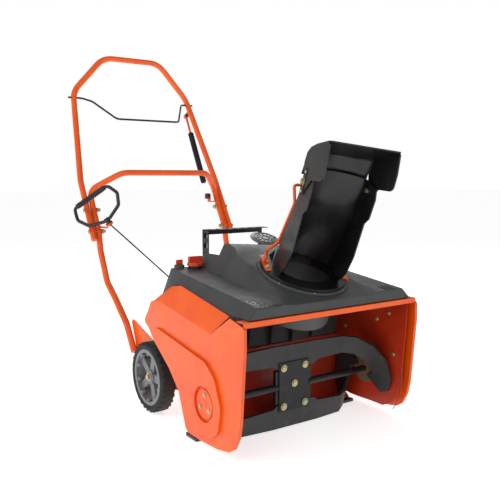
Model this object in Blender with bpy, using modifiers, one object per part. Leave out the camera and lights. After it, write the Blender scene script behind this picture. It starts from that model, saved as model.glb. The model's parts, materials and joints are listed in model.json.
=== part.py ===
"""Single stage snowblower, as separate sub-parts, in metres with +Z up.

The intake faces -Y, the operator stands at +Y and X runs across the machine. The origin is on the
ground under the middle of the machine. Depths below are measured back from the front lip and
heights up from the ground, and at() turns them into world coordinates.
"""

import math

import bmesh
import bpy
from mathutils import Matrix, Vector
from mathutils.geometry import intersect_point_line

# Fits and sheet thicknesses
GAP = 0.0003
RUNNING_GAP = 0.0006
SHEET = 0.0025
PLASTIC = 0.003

# Intake housing
HOUSING_WIDTH = 0.565
INTAKE_HEIGHT = 0.345
FRONT_OVERHANG = 0.005
PLATE_FLANGE = 0.008
BOSS_HEIGHT = 0.007
BELT_BAY = 0.020
PANEL_LEAN = 0.017
BACK_DEPTH = 0.288
BACK_SPLIT_HEIGHT = 0.195
LIP_STRIP = 0.013

# Auger
AUGER_RADIUS = 0.1135
AUGER_DEPTH = 0.163
AUGER_GROUND_GAP = 0.0010
AUGER_HEIGHT = AUGER_RADIUS + AUGER_GROUND_GAP
AUGER_TIP_GAP = 0.0075
PADDLE_THICKNESS = 0.009
PADDLE_ROOT = 0.047
CORE_HALF_WIDTH = 0.060
CLAMP_X = -0.012
SHAFT_RADIUS = 0.0095
BEARING_RADIUS = 0.026

# Wheels
WHEEL_RADIUS = 0.1007
WHEEL_WIDTH = 0.046
WHEEL_DEPTH = 0.4826
WHEEL_OUTER_X = 0.290
TYRE_SECTION = 0.020
AXLE_RADIUS = 0.006

# Handle
TUBE_RADIUS = 0.0106
HANDLE_HALF_WIDTH = 0.2495
HANDLE_TOP = 1.106
HANDLE_DEPTH = 1.172
GRIP_HALF_WIDTH = 0.112
HANDLE_BOLTS = ((0.953, 0.557), (0.912, 0.487))
HANDLE_BOLT_RADIUS = 0.004
BAIL_RADIUS = 0.0035

# Chute
CHUTE_TILT = math.radians(21.3)
CHUTE_TURN = math.radians(-22.4)
CHUTE_DEPTH = 0.137
CHUTE_HEIGHT = 0.4247
RING_RADIUS = 0.1224
RING_BORE = 0.098
RING_THICKNESS = 0.008
CHUTE_HALF_WIDTH = 0.077
CHUTE_PIVOT = (-0.071, 0.2635)
CHUTE_BOLT_RADIUS = 0.0040

# Hood
HOOD_HALF_WIDTH = 0.2635
HOOD_SHELF = 0.372
HOOD_SHELF_SLOPE = 0.11
HOOD_COWL_TOP = 0.481
HOOD_EDGE = 0.3485
HOOD_REAR = 0.476
ENGINE_OPENING = 0.128
ENGINE_OPENING_DEPTH = 0.345

# Engine and drive
CRANK_DEPTH = 0.420
CRANK_HEIGHT = 0.270
CRANK_RADIUS = 0.0105
DECK_HEIGHT = 0.182
CRANK_PULLEY_RADIUS = 0.030
AUGER_PULLEY_RADIUS = 0.072
BELT_WIDTH = 0.010
BELT_THICKNESS = 0.006
IDLER_RADIUS = 0.018
FRAME_HALF_WIDTH = 0.2385

# The middle of the machine's outline: the starter handle stands out to the left, and the
# deflector reaches out in front of the lip.
CENTRE_X = -0.01877
CENTRE_DEPTH = 0.50462

HALF_WIDTH = HOUSING_WIDTH / 2
PLATE_INNER = HALF_WIDTH - SHEET
BELT_WALL_X = PLATE_INNER - BELT_BAY
PADDLE_REACH_LEFT = PLATE_INNER - 0.012
PADDLE_REACH_RIGHT = BELT_WALL_X - SHEET - 0.009
PULLEY_X = BELT_WALL_X + 0.004
WHEEL_X = WHEEL_OUTER_X - WHEEL_WIDTH / 2
UPPER_TUBE_X = HANDLE_HALF_WIDTH + 2 * TUBE_RADIUS + GAP
UPPER_BEND = (UPPER_TUBE_X, 1.010, 0.654)
UPPER_CORNER = (0.231, 1.168, 0.975)
ROUND_STEPS = 24
RING_STEPS = 32

FINISHES = {
    "orange_paint": ("#F4551B", 0.35, 0.0),
    "inner_orange": ("#C9330F", 0.45, 0.0),
    "hood_plastic": ("#56585A", 0.55, 0.0),
    "black_plastic": ("#191919", 0.45, 0.0),
    "black_steel": ("#1E1E1F", 0.40, 0.3),
    "rubber": ("#38383A", 0.80, 0.0),
    "tyre_rubber": ("#2C2C2D", 0.85, 0.0),
    "rim_plastic": ("#808388", 0.55, 0.0),
    "zinc": ("#B9B79B", 0.35, 0.9),
    "cast_aluminium": ("#8B8D90", 0.50, 0.9),
    "bright_steel": ("#C9CBCD", 0.30, 0.9),
    "foam": ("#222222", 0.90, 0.0),
    "belt_rubber": ("#1B1B1C", 0.75, 0.0),
    "cap_red": ("#DE3A14", 0.40, 0.0),
    "rope": ("#2E2E2E", 0.85, 0.0),
}


def running_bore(radius, steps=ROUND_STEPS):
    """The bore radius, at its corners, in which a faceted shaft of a radius turns freely."""
    return radius / math.cos(math.pi / steps) + 0.00005


def linear(hex_colour):
    """The linear RGBA of an sRGB hex colour."""
    channels = [int(hex_colour[i : i + 2], 16) / 255 for i in (1, 3, 5)]
    return [c / 12.92 if c <= 0.04045 else ((c + 0.055) / 1.055) ** 2.4 for c in channels] + [1.0]


def make_finish(name):
    """The Principled material of one finish, made once."""
    material = bpy.data.materials.get(name)
    if material is None:
        colour, roughness, metallic = FINISHES[name]
        material = bpy.data.materials.new(name)
        material.use_nodes = True
        shader = material.node_tree.nodes["Principled BSDF"]
        shader.inputs["Base Color"].default_value = linear(colour)
        shader.inputs["Roughness"].default_value = roughness
        shader.inputs["Metallic"].default_value = metallic
        material.diffuse_color = linear(colour)
    return material


def at(x, depth, height):
    """The world point at x, a depth behind the front lip and a height above the ground."""
    return Vector((x - CENTRE_X, depth - CENTRE_DEPTH, height))


# ---------------------------------------------------------------- building tools


def place(mesh_or_curve, name, finish, cutter=False):
    """Links a new object to the parts or the cutters collection."""
    thing = bpy.data.objects.new(name, mesh_or_curve)
    collection = bpy.data.collections["cutters" if cutter else "snowblower"]
    collection.objects.link(thing)
    if finish:
        thing.data.materials.append(make_finish(finish))
    return thing


def tool(thing):
    """Marks an object as a hidden cutter or a hidden piece of a union."""
    thing.hide_render = True
    thing.display_type = "WIRE"
    for collection in list(thing.users_collection):
        collection.objects.unlink(thing)
    bpy.data.collections["cutters"].objects.link(thing)
    return thing


def combine(target, others, operation):
    """Joins the others to the target, or cuts them from it, with exact Booleans."""
    for other in others:
        tool(other)
        boolean = target.modifiers.new(operation.lower(), "BOOLEAN")
        boolean.operation = operation
        boolean.solver = "EXACT"
        boolean.object = other
    return target


def cut(target, *others):
    """Cuts the other objects from the target."""
    return combine(target, others, "DIFFERENCE")


def join(target, *others):
    """Joins the other objects to the target."""
    return combine(target, others, "UNION")


def as_mesh(curve_object):
    """Turns a curve object into a welded mesh object of the same name and place."""
    name = curve_object.name
    bpy.context.view_layer.update()
    graph = bpy.context.evaluated_depsgraph_get()
    mesh = bpy.data.meshes.new_from_object(curve_object.evaluated_get(graph))
    cage = bmesh.new()
    cage.from_mesh(mesh)
    bmesh.ops.remove_doubles(cage, verts=cage.verts, dist=1e-6)
    bmesh.ops.recalc_face_normals(cage, faces=cage.faces)
    cage.to_mesh(mesh)
    cage.free()
    matrix = curve_object.matrix_world.copy()
    bpy.data.objects.remove(curve_object)
    thing = bpy.data.objects.new(name, mesh)
    bpy.data.collections["snowblower"].objects.link(thing)
    thing.matrix_world = matrix
    return thing


def smooth(thing, degrees=35):
    """Shades a mesh smooth, with edges over the angle left sharp."""
    thing.data.shade_smooth()
    thing.data.set_sharp_from_angle(angle=math.radians(degrees))
    return thing


def fillet(points, radius, steps=4, closed=False):
    """The points of a path with each corner rounded to about the radius."""
    corners = [Vector(p) for p in points]
    rounded = []
    for index, corner in enumerate(corners):
        if not closed and index in (0, len(corners) - 1):
            rounded.append(corner)
            continue
        before = corners[index - 1] - corner
        after = corners[(index + 1) % len(corners)] - corner
        half = before.angle(after) / 2
        reach = min(radius / math.tan(half), 0.45 * before.length, 0.45 * after.length)
        start = corner + before.normalized() * reach
        end = corner + after.normalized() * reach
        for step in range(steps + 1):
            t = step / steps
            rounded.append(start * (1 - t) ** 2 + corner * 2 * t * (1 - t) + end * t**2)
    return rounded


def tube(name, points, radius, finish, sides=8, closed=False):
    """A round bar along world points, as a welded mesh."""
    curve = bpy.data.curves.new(name, "CURVE")
    curve.dimensions = "3D"
    curve.bevel_depth = radius
    curve.bevel_resolution = (sides - 4) // 2
    curve.use_fill_caps = not closed
    spline = curve.splines.new("POLY")
    spline.points.add(len(points) - 1)
    spline.use_cyclic_u = closed
    for spot, point in zip(spline.points, points):
        spot.co = (*point, 1)
    return smooth(as_mesh(place(curve, name, finish)))


def sheet_outline(name, outline, thickness, matrix, finish):
    """A flat outline in the XY plane of a matrix, centred on it, as a welded mesh."""
    curve = bpy.data.curves.new(name, "CURVE")
    curve.dimensions = "2D"
    curve.fill_mode = "BOTH"
    curve.extrude = thickness / 2
    spline = curve.splines.new("POLY")
    spline.points.add(len(outline) - 1)
    spline.use_cyclic_u = True
    for spot, point in zip(spline.points, outline):
        spot.co = (point[0], point[1], 0, 1)
    flat = place(curve, name, finish)
    flat.matrix_world = matrix
    return as_mesh(flat)


def side_sheet(name, outline, low_x, high_x, finish):
    """An upright sheet between two x values, from an outline of (depth, height) points."""
    columns = Matrix(((0, 0, 1), (1, 0, 0), (0, 1, 0))).to_4x4()
    matrix = Matrix.Translation(at((low_x + high_x) / 2, 0, 0)) @ columns
    return sheet_outline(name, outline, abs(high_x - low_x), matrix, finish)


def turned(name, profile, centre, axis, finish, steps=ROUND_STEPS):
    """A solid of revolution: (radius, height) points down the outer side, height along the axis."""
    mesh = bpy.data.meshes.new(name)
    count = len(profile)
    closes = profile[0][0] > 0
    edges = [(i, i + 1) for i in range(count - 1)] + ([(count - 1, 0)] if closes else [])
    mesh.from_pydata([(r, 0, h) for r, h in profile], edges, [])
    thing = place(mesh, name, finish)
    screw = thing.modifiers.new("turn", "SCREW")
    screw.axis = "Z"
    screw.steps = steps
    screw.render_steps = steps
    screw.use_merge_vertices = True
    screw.merge_threshold = 1e-5
    screw.use_smooth_shade = True
    turn = Vector((0, 0, 1)).rotation_difference(Vector(axis)).to_matrix().to_4x4()
    thing.matrix_world = Matrix.Translation(centre) @ turn
    return thing


def rod(name, centre, axis, radius, low, high, finish=None, steps=ROUND_STEPS):
    """A plain cylinder between two heights along an axis through a centre."""
    return turned(name, [(0, high), (radius, high), (radius, low), (0, low)], centre, axis, finish, steps)


def block(name, low, high, finish=None, bevel=0.0):
    """A box between two corners, with bevelled edges if asked."""
    mesh = bpy.data.meshes.new(name)
    cage = bmesh.new()
    bmesh.ops.create_cube(cage, size=1)
    size = high - low
    bmesh.ops.scale(cage, vec=size, verts=cage.verts)
    cage.to_mesh(mesh)
    cage.free()
    thing = place(mesh, name, finish)
    thing.location = (low + high) / 2
    if bevel:
        modifier = thing.modifiers.new("bevel", "BEVEL")
        modifier.width = bevel
        modifier.segments = 2
    return thing


def skin(name, rows, thickness, finish, offset=-1.0, drop=()):
    """A shell on a grid of world points, thickened to one side, without the dropped quads."""
    mesh = bpy.data.meshes.new(name)
    across = len(rows[0])
    vertices = [point for row in rows for point in row]
    faces = [
        (r * across + c, r * across + c + 1, (r + 1) * across + c + 1, (r + 1) * across + c)
        for r in range(len(rows) - 1)
        for c in range(across - 1)
        if (r, c) not in drop
    ]
    mesh.from_pydata(vertices, [], faces)
    cage = bmesh.new()
    cage.from_mesh(mesh)
    loose = [v for v in cage.verts if not v.link_faces]
    bmesh.ops.delete(cage, geom=loose, context="VERTS")
    bmesh.ops.remove_doubles(cage, verts=cage.verts, dist=1e-6)
    cage.to_mesh(mesh)
    cage.free()
    thing = place(mesh, name, finish)
    wall = thing.modifiers.new("wall", "SOLIDIFY")
    wall.thickness = thickness
    wall.offset = offset
    wall.use_even_offset = True
    return thing


def arc(centre, radius, start, end, steps):
    """Points on a circle in a plane, angles in degrees."""
    angles = [math.radians(start + (end - start) * k / steps) for k in range(steps + 1)]
    return [(centre[0] + radius * math.cos(a), centre[1] + radius * math.sin(a)) for a in angles]


# ---------------------------------------------------------------- intake housing

PLATE_OUTLINE = (
    (-0.004, 0.334),
    (-FRONT_OVERHANG, 0.287),
    (0.0105, 0.109),
    (0.019, 0.072),
    (0.036, 0.041),
    (0.058, 0.027),
    (0.112, 0.0165),
    (0.200, 0.0115),
    (0.250, 0.0115),
    (0.266, 0.020),
    (0.284, 0.063),
    (0.302, 0.108),
    (0.354, 0.157),
    (0.446, 0.217),
    (0.475, 0.246),
    (0.505, 0.262),
    (0.479, 0.292),
    (0.456, 0.326),
    (0.412, 0.334),
    (0.138, 0.294),
    (0.054, 0.347),
)
BOSS_OUTLINE = (
    (0.430, 0.262),
    (0.155, 0.222),
    (0.112, 0.190),
    (0.085, 0.125),
    (0.096, 0.062),
    (0.130, 0.036),
    (0.215, 0.034),
    (0.245, 0.060),
    (0.262, 0.096),
    (0.300, 0.140),
    (0.400, 0.205),
)
PANEL_LOW = ((0.440, 0.328), (0.405, 0.3325), (0.138, 0.294))
PANEL_HIGH = ((0.364, 0.377), (0.312, 0.386), (0.080, 0.3455))


def front_flange(side, name):
    """The narrow flange that turns in along the front edge of a side plate."""
    outline = [(p[0] + 0.0005, min(p[1], INTAKE_HEIGHT - LIP_STRIP - GAP)) for p in PLATE_OUTLINE[:5]]
    back = [(p[0] + SHEET, p[1]) for p in reversed(outline)]
    inner = side * (PLATE_INNER - PLATE_FLANGE + SHEET)
    return side_sheet(name, outline + back, inner, side * (HALF_WIDTH - 0.001), None)


def leaning_panel(side, name):
    """The upper strip of a side plate, bent in towards the hood."""
    low = [at(side * (HALF_WIDTH - SHEET / 2), *spot) for spot in PANEL_LOW]
    high = [at(side * (HALF_WIDTH - PANEL_LEAN), *spot) for spot in PANEL_HIGH]
    overlap = (low[0] - high[0]).normalized() * 0.002
    rows = [[spot + overlap for spot in low], high]
    if side > 0:
        rows.reverse()
    return skin(name, rows, SHEET, None, offset=0.0)


def make_side_plate(side, name):
    """A side plate with its front flange, raised boss, bearing recess and leaning panel."""
    outer = side * HALF_WIDTH
    plate = side_sheet(name, fillet(PLATE_OUTLINE, 0.006, 1, True), side * PLATE_INNER, outer, "orange_paint")
    boss_points = fillet(BOSS_OUTLINE, 0.03, 3, True)
    boss_face = outer + side * BOSS_HEIGHT
    boss = side_sheet("raised_" + name, boss_points, outer - side * 0.001, boss_face, None)
    join(plate, boss, front_flange(side, "flange_" + name), leaning_panel(side, "panel_" + name))
    centre = at(boss_face, AUGER_DEPTH, AUGER_HEIGHT)
    recess = rod("recess_" + name, centre, (1, 0, 0), 0.045, -BOSS_HEIGHT, BOSS_HEIGHT)
    cut(plate, recess)
    if side < 0:
        bore_centre = at(outer, AUGER_DEPTH, AUGER_HEIGHT)
        cut(plate, rod("bore_" + name, bore_centre, (1, 0, 0), BEARING_RADIUS, -0.02, 0.02))
    return plate


def make_belt_wall():
    """The inner right wall, which closes the belt bay off from the intake."""
    outline = [(0.010, 0.3245), (0.010, 0.287), (0.0245, 0.109), (0.034, 0.072), (0.052, 0.044), (0.090, 0.024)]
    outline += [(0.268, 0.024), (0.284, 0.063), (0.300, 0.108), (0.300, 0.3245)]
    wall = side_sheet("belt_wall", outline, BELT_WALL_X - SHEET, BELT_WALL_X, "inner_orange")
    centre = at(BELT_WALL_X, AUGER_DEPTH, AUGER_HEIGHT)
    bore = rod("bore_belt_wall", centre, (1, 0, 0), BEARING_RADIUS, -0.02, 0.02)
    return cut(wall, bore)


def make_back_panel():
    """The steel back of the intake: an arc behind the auger, then a straight rise."""
    radius = AUGER_RADIUS + AUGER_TIP_GAP
    axis = (AUGER_DEPTH, AUGER_HEIGHT)
    path = arc(axis, radius, -57, 0, 7)
    rise = (BACK_DEPTH - 0.004, BACK_SPLIT_HEIGHT - GAP)
    path.append(rise)
    ends = (-(PLATE_INNER - GAP), BELT_WALL_X - SHEET - GAP)
    rows = [[at(x, *point) for x in ends] for point in path]
    return skin("back_panel", rows, SHEET, "inner_orange")


def make_lip_bar():
    """The orange strip across the top of the intake, with a flange that runs back from it."""
    low, high = INTAKE_HEIGHT - LIP_STRIP, INTAKE_HEIGHT
    section = [(0.0, low), (SHEET, low), (SHEET, high - SHEET), (0.030, high - SHEET), (0.030, high), (0.0, high)]
    reach = PLATE_INNER - GAP
    return side_sheet("lip_bar", section, -reach, reach, "orange_paint")


def make_scraper_bar():
    """The wear strip under the back edge of the intake."""
    low = at(-(HALF_WIDTH + 0.002), 0.2087, 0.0015)
    high = at(BELT_WALL_X - SHEET - GAP, 0.262, 0.0105)
    return block("scraper_bar", low, high, "black_plastic", 0.001)


def ring_axes():
    """The chute's own frame: centre, across, back and up, at its place about the ring."""
    up = Vector((0, -math.sin(CHUTE_TILT), math.cos(CHUTE_TILT)))
    level = Vector((1, 0, 0))
    turned_level = level * math.cos(CHUTE_TURN) + up.cross(level) * math.sin(CHUTE_TURN)
    return at(0, CHUTE_DEPTH, CHUTE_HEIGHT), turned_level, up.cross(turned_level), up


def chute_point(across, back, up):
    """The world point at a place in the chute's own frame."""
    centre, x_axis, y_axis, z_axis = ring_axes()
    return centre + x_axis * across + y_axis * back + z_axis * up


def make_discharge_throat():
    """The plastic guide above the auger: a ribbed back wall, a deck and the duct to the ring."""
    deck = 0.322
    wall_path = [(BACK_DEPTH, BACK_SPLIT_HEIGHT), (BACK_DEPTH, 0.265), (0.270, 0.305), (0.235, deck), (0.034, deck)]
    path = [wall_path[0]] + fillet(wall_path[1:], 0.02, 2)
    right = BELT_WALL_X - SHEET - GAP
    rows = []
    for depth, height in path:
        left = -(HALF_WIDTH - PANEL_LEAN - 0.004) if height > 0.29 else -(PLATE_INNER - GAP)
        rows.append([at(left, depth, height), at(right, depth, height)])
    throat = skin("discharge_throat", rows, PLASTIC, "hood_plastic")
    ribs = []
    for index, x in enumerate((-0.150, -0.075, 0.0, 0.075, 0.150)):
        outline = [(BACK_DEPTH - 0.001, 0.197), (BACK_DEPTH - 0.001, 0.27), (0.262, 0.268), (0.276, 0.20)]
        ribs.append(side_sheet(f"throat_rib_{index}", outline, x - 0.002, x + 0.002, None))
    centre, _, _, up = ring_axes()
    depth_below = (CHUTE_HEIGHT - deck) / math.cos(CHUTE_TILT)
    top = -RING_THICKNESS - GAP
    outer = rod("duct_outer", centre, up, RING_BORE, -depth_below - 0.012, top, None, RING_STEPS)
    inner = rod("duct_inner", centre, up, RING_BORE - PLASTIC, -depth_below - 0.08, 0.02, None, RING_STEPS)
    return cut(join(throat, *ribs, outer), inner)


# ---------------------------------------------------------------- hood


def hood_height(x, depth):
    """The height of the hood's top surface."""
    side = abs(x)
    shelf = HOOD_SHELF + HOOD_SHELF_SLOPE * min(depth, 0.42) - 1.45 * max(depth - 0.42, 0)
    seat = (RING_THICKNESS - 0.002 + GAP) / math.cos(CHUTE_TILT)
    crown = CHUTE_HEIGHT - seat + (depth - CHUTE_DEPTH) * math.tan(CHUTE_TILT)
    crown = min(crown, HOOD_COWL_TOP - 0.09 * max(x, -0.1) - 0.10 * max(depth - 0.29, 0))
    inner, outer = (RING_RADIUS + 0.004, 0.160) if depth < 0.26 else (0.112, 0.152)
    share = min(max((outer - side) / (outer - inner), 0), 1)
    top = shelf + (crown - shelf) * share
    edge = max(HOOD_EDGE, HOOD_EDGE + 0.176 * (depth - 0.110))
    edge = min(edge, HOOD_EDGE + 0.0365 - 0.62 * (depth - 0.33))
    slope_share = min(max((HOOD_HALF_WIDTH - side) / 0.026, 0), 1)
    return edge + (top - edge) * slope_share


def make_hood():
    """The plastic cover over the intake, with a hole for the ring and an open engine bay."""
    half = [0.056, 0.112, ENGINE_OPENING, 0.152, 0.160, 0.195, HOOD_HALF_WIDTH - 0.026, HOOD_HALF_WIDTH]
    xs = [-x for x in reversed(half)] + [0.0] + half
    depths = [0.010, 0.050, 0.090, 0.130, 0.170, 0.210, 0.255, 0.290, 0.320, ENGINE_OPENING_DEPTH, 0.385, 0.42, HOOD_REAR]
    rows = [[at(x, 0.003, INTAKE_HEIGHT + PLASTIC) for x in xs]]
    rows += [[at(x, depth, hood_height(x, depth)) for x in xs] for depth in depths]
    drop = set()
    for row in range(1, len(rows) - 1):
        for column in range(len(xs) - 1):
            reach = max(abs(xs[column]), abs(xs[column + 1]))
            opening = reach < ENGINE_OPENING + 1e-6 and depths[row - 1] > ENGINE_OPENING_DEPTH - 1e-6
            notch = xs[column] > -1e-6 and reach < 0.12 and depths[row - 1] > 0.32 - 1e-6
            if opening or notch:
                drop.add((row, column))
    hood = skin("hood", rows, PLASTIC, "hood_plastic", offset=-1.0, drop=drop)
    centre, _, _, up = ring_axes()
    hole = rod("hood_hole", centre, up, RING_BORE + 0.007, -0.06, 0.06, None, RING_STEPS)
    neck = rod("hood_neck_hole", at(*FUEL_CAP_PLACE, 0.40), (0, 0, 1), 0.0195, -0.06, 0.06)
    key = rod("hood_key_hole", at(*KEY_PLACE, 0.40), (0, 0, 1), running_bore(0.0026, 12), -0.06, 0.06, None, 12)
    return cut(join(hood, make_switch_base()), hole, neck, key)


def make_ring():
    """The fixed ring that the chute turns in."""
    centre, _, _, up = ring_axes()
    top, low = 0.0, -RING_THICKNESS
    bore = RING_BORE + GAP
    profile = [
        (RING_RADIUS - 0.003, top),
        (RING_RADIUS, top - 0.003),
        (RING_RADIUS, low + 0.002),
        (RING_BORE + 0.0055, low + 0.002),
        (RING_BORE + 0.0055, low - 0.006),
        (bore, low - 0.006),
        (bore, top),
    ]
    return turned("chute_ring", profile, centre, up, "hood_plastic", RING_STEPS)


# ---------------------------------------------------------------- chute

# Heights above the ring plane, with each section's front edge, back edge and bulge behind that.
CHUTE_SECTIONS = (
    (0.004, -0.050, 0.030, 0.052),
    (0.045, -0.088, 0.019, 0.044),
    (0.100, -0.104, 0.002, 0.034),
    (0.192, -0.106, -0.029, 0.027),
    (0.212, -0.124, -0.035, 0.026),
    (0.262, -0.127, -0.048, 0.025),
    (0.285, -0.116, -0.048, 0.025),
)
CHUTE_BACK_CURVE = ((0.93, 0.08), (0.72, 0.45), (0.38, 0.84), (0.0, 1.0))


def chute_section(height, front, back, bulge):
    """The points of one U-shaped section of the chute, front left to front right."""
    width = CHUTE_HALF_WIDTH
    half = [(-width, front), (-width, (front + back) / 2), (-width, back - 0.010)]
    half += [(-width * across, back + bulge * share) for across, share in CHUTE_BACK_CURVE]
    mirrored = [(-x, y) for x, y in reversed(half[:-1])]
    return [chute_point(x, y, height) for x, y in half + mirrored]


def make_chute():
    """The discharge chute: a U-shaped wall on a flange that lies on the ring."""
    rows = [chute_section(*section) for section in CHUTE_SECTIONS]
    chute = skin("chute", rows, PLASTIC, "black_plastic", offset=-1.0)
    centre, _, _, up = ring_axes()
    low, top = GAP, 0.0073
    inner = CHUTE_HALF_WIDTH - 0.003
    collar = RING_BORE - PLASTIC - RUNNING_GAP
    profile = [
        (0.1155, top),
        (0.1155, low),
        (collar, low),
        (collar, -0.020),
        (collar - 0.004, -0.020),
        (collar - 0.004, low),
        (inner, low),
        (inner, top),
    ]
    flange = turned("chute_flange", profile, centre, up, None, RING_STEPS)
    bolt_holes = chute_cross_hole("chute_bolt_hole", CHUTE_PIVOT, running_bore(CHUTE_BOLT_RADIUS, 12), 0.12)
    return cut(join(chute, flange), bolt_holes)


def chute_cross_hole(name, spot, radius, reach):
    """A cylinder across the chute through a (back, up) spot."""
    _, across, _, _ = ring_axes()
    return rod(name, chute_point(0, *spot), across, radius, -reach, reach, None, 12)


def chute_plate(name, outline, low, high, finish):
    """A flat plate in the chute's side plane, from (back, up) points."""
    centre, across, back, up = ring_axes()
    columns = Matrix((back, up, across)).transposed().to_4x4()
    matrix = Matrix.Translation(centre + across * (low + high) / 2) @ columns
    return sheet_outline(name, outline, high - low, matrix, finish)


# The deflector's roof from its back edge to its front edge: back, up and how far it bows back.
ROOF_STATIONS = (
    (-0.0335, 0.272, 0.0245),
    (-0.0445, 0.327, 0.028),
    (-0.0620, 0.345, 0.018),
    (-0.0980, 0.364, 0.006),
    (-0.1720, 0.394, 0.000),
)


def make_deflector():
    """The cap on top of the chute: two cheeks and a bowed roof, hinged on the chute's bolts."""
    inner = CHUTE_HALF_WIDTH + PLASTIC + RUNNING_GAP
    outer = inner + PLASTIC
    cheek = [(-0.060, 0.247), (-0.058, 0.275), (-0.041, 0.300)] + [station[:2] for station in ROOF_STATIONS[1:]]
    cheek += [(-0.188, 0.345), (-0.190, 0.312), (-0.176, 0.302), (-0.118, 0.284), (-0.086, 0.247)]
    left = chute_plate("deflector", fillet(cheek, 0.008, 1, True), -outer, -inner, "black_plastic")
    right = chute_plate("deflector_right", fillet(cheek, 0.008, 1, True), inner, outer, None)
    reach = inner + 0.001
    spans = [-reach] + [-CHUTE_HALF_WIDTH * share for share, _ in CHUTE_BACK_CURVE]
    bows = [0.0] + [share for _, share in CHUTE_BACK_CURVE]
    spans += [-x for x in reversed(spans[:-1])]
    bows += bows[-2::-1]
    rows = [
        [chute_point(x, y - 0.0015 + bow * bulge, z - 0.0015) for x, bow in zip(spans, bows)]
        for y, z, bulge in ROOF_STATIONS
    ]
    roof = skin("deflector_roof", rows, PLASTIC, None, offset=0.0)
    holes = chute_cross_hole("deflector_bolt_hole", CHUTE_PIVOT, running_bore(CHUTE_BOLT_RADIUS, 12), 0.12)
    return cut(join(left, roof, right), holes)


def make_deflector_bolt(side, name):
    """A deflector pivot bolt with its head outside and its nut inside the wall."""
    _, across, _, _ = ring_axes()
    face = CHUTE_HALF_WIDTH + 2 * PLASTIC + RUNNING_GAP + GAP
    inside = CHUTE_HALF_WIDTH - GAP
    profile = [
        (0, face + 0.006),
        (0.007, face + 0.006),
        (0.007, face + 0.0015),
        (0.010, face + 0.0015),
        (0.010, face),
        (CHUTE_BOLT_RADIUS, face),
        (CHUTE_BOLT_RADIUS, inside),
        (0.0065, inside),
        (0.0065, inside - 0.004),
        (0, inside - 0.004),
    ]
    return turned(name, profile, chute_point(0, *CHUTE_PIVOT), across * side, "zinc", 12)


def make_chute_handle():
    """The U-shaped rod behind the chute, from one bracket up, across and down to the other."""
    leg = CHUTE_HALF_WIDTH + 0.002
    half = [
        (0.104, 0.011, 0.0155 + GAP),
        (0.104, 0.011, 0.025),
        (0.102, 0.030, 0.031),
        (leg, 0.017, 0.066),
        (leg - 0.010, -0.004, 0.184),
        (leg - 0.005, 0.022, 0.223),
    ]
    path = [(-x, y, z) for x, y, z in half] + [spot for spot in reversed(half)]
    points = fillet([chute_point(*spot) for spot in path], 0.009, 3)
    return tube("chute_handle", points, 0.004, "orange_paint", 8)


def make_chute_bracket(side, name):
    """The clip that holds the chute's flange to the ring and carries one end of the handle."""
    foot = RING_RADIUS - 0.018
    low, high = sorted((side * (foot - 0.008), side * (foot + 0.008)))
    centre, across, back, up = ring_axes()
    outline = [(-0.040, 0.0078), (0.045, 0.0078), (0.045, 0.0110), (-0.040, 0.0110)]
    clip = chute_plate(name, outline, low, high, "orange_paint")
    lug = [(0.000, 0.010), (0.020, 0.010), (0.020, 0.0155), (0.000, 0.0155)]
    return join(clip, chute_plate("lug_" + name, lug, low, high, None))


# ---------------------------------------------------------------- auger


def make_auger_shaft():
    """The shaft across the intake, with the flat steel core that the paddles bolt to."""
    centre = at(0, AUGER_DEPTH, AUGER_HEIGHT)
    left_end, right_end = -(PLATE_INNER - 0.002), PLATE_INNER - 0.003
    core_left, core_right = CLAMP_X - CORE_HALF_WIDTH, CLAMP_X + CORE_HALF_WIDTH
    shaft = rod("auger_shaft", centre, (1, 0, 0), SHAFT_RADIUS, core_right - 0.008, right_end, "black_steel")
    left_shaft = rod("left_shaft", centre, (1, 0, 0), SHAFT_RADIUS, left_end, core_left + 0.008)
    thick = PADDLE_THICKNESS / 2 + GAP
    low = at(core_left, AUGER_DEPTH - thick, AUGER_HEIGHT - PADDLE_ROOT + 0.002)
    high = at(core_right, AUGER_DEPTH + thick + 0.001, AUGER_HEIGHT + PADDLE_ROOT - 0.002)
    core = block("shaft_core", low, high)
    return join(shaft, core, left_shaft, make_clamp_plate(1, "rear_clamp_plate"))


# Along each half of a paddle: share of its reach, sweep round the shaft in degrees, inner and
# outer radius.
PADDLE_STATIONS = (
    (0.00, 0, PADDLE_ROOT, AUGER_RADIUS),
    (0.23, 0, PADDLE_ROOT, AUGER_RADIUS),
    (0.30, 0, 0.058, AUGER_RADIUS),
    (0.64, 4, 0.064, AUGER_RADIUS),
    (0.78, 16, 0.060, AUGER_RADIUS),
    (0.89, 40, 0.054, AUGER_RADIUS),
    (0.95, 66, 0.048, AUGER_RADIUS),
    (0.99, 92, 0.042, AUGER_RADIUS),
    (1.00, 112, 0.022, AUGER_RADIUS - 0.004),
    (1.00, 124, 0.026, AUGER_RADIUS - 0.022),
)


def paddle_rows(turn):
    """The grid of a rubber paddle: flat at the middle, swept round the shaft to its ends."""
    left = [(-share * PADDLE_REACH_LEFT, *rest) for share, *rest in reversed(PADDLE_STATIONS[1:])]
    right = [(share * PADDLE_REACH_RIGHT, *rest) for share, *rest in PADDLE_STATIONS]
    rows = []
    for level in (0.0, 0.5, 1.0):
        row = []
        for x, sweep, inner, outer in left + right:
            radius = inner + (outer - 0.002 - inner) * level
            angle = turn + math.radians(sweep)
            row.append(at(x, AUGER_DEPTH - radius * math.sin(angle), AUGER_HEIGHT + radius * math.cos(angle)))
        rows.append(row)
    return rows


def make_paddle(name, turn):
    """One of the two rubber paddles, bolted to the shaft's core."""
    return skin(name, paddle_rows(turn), PADDLE_THICKNESS, "rubber", offset=0.0)


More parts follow.
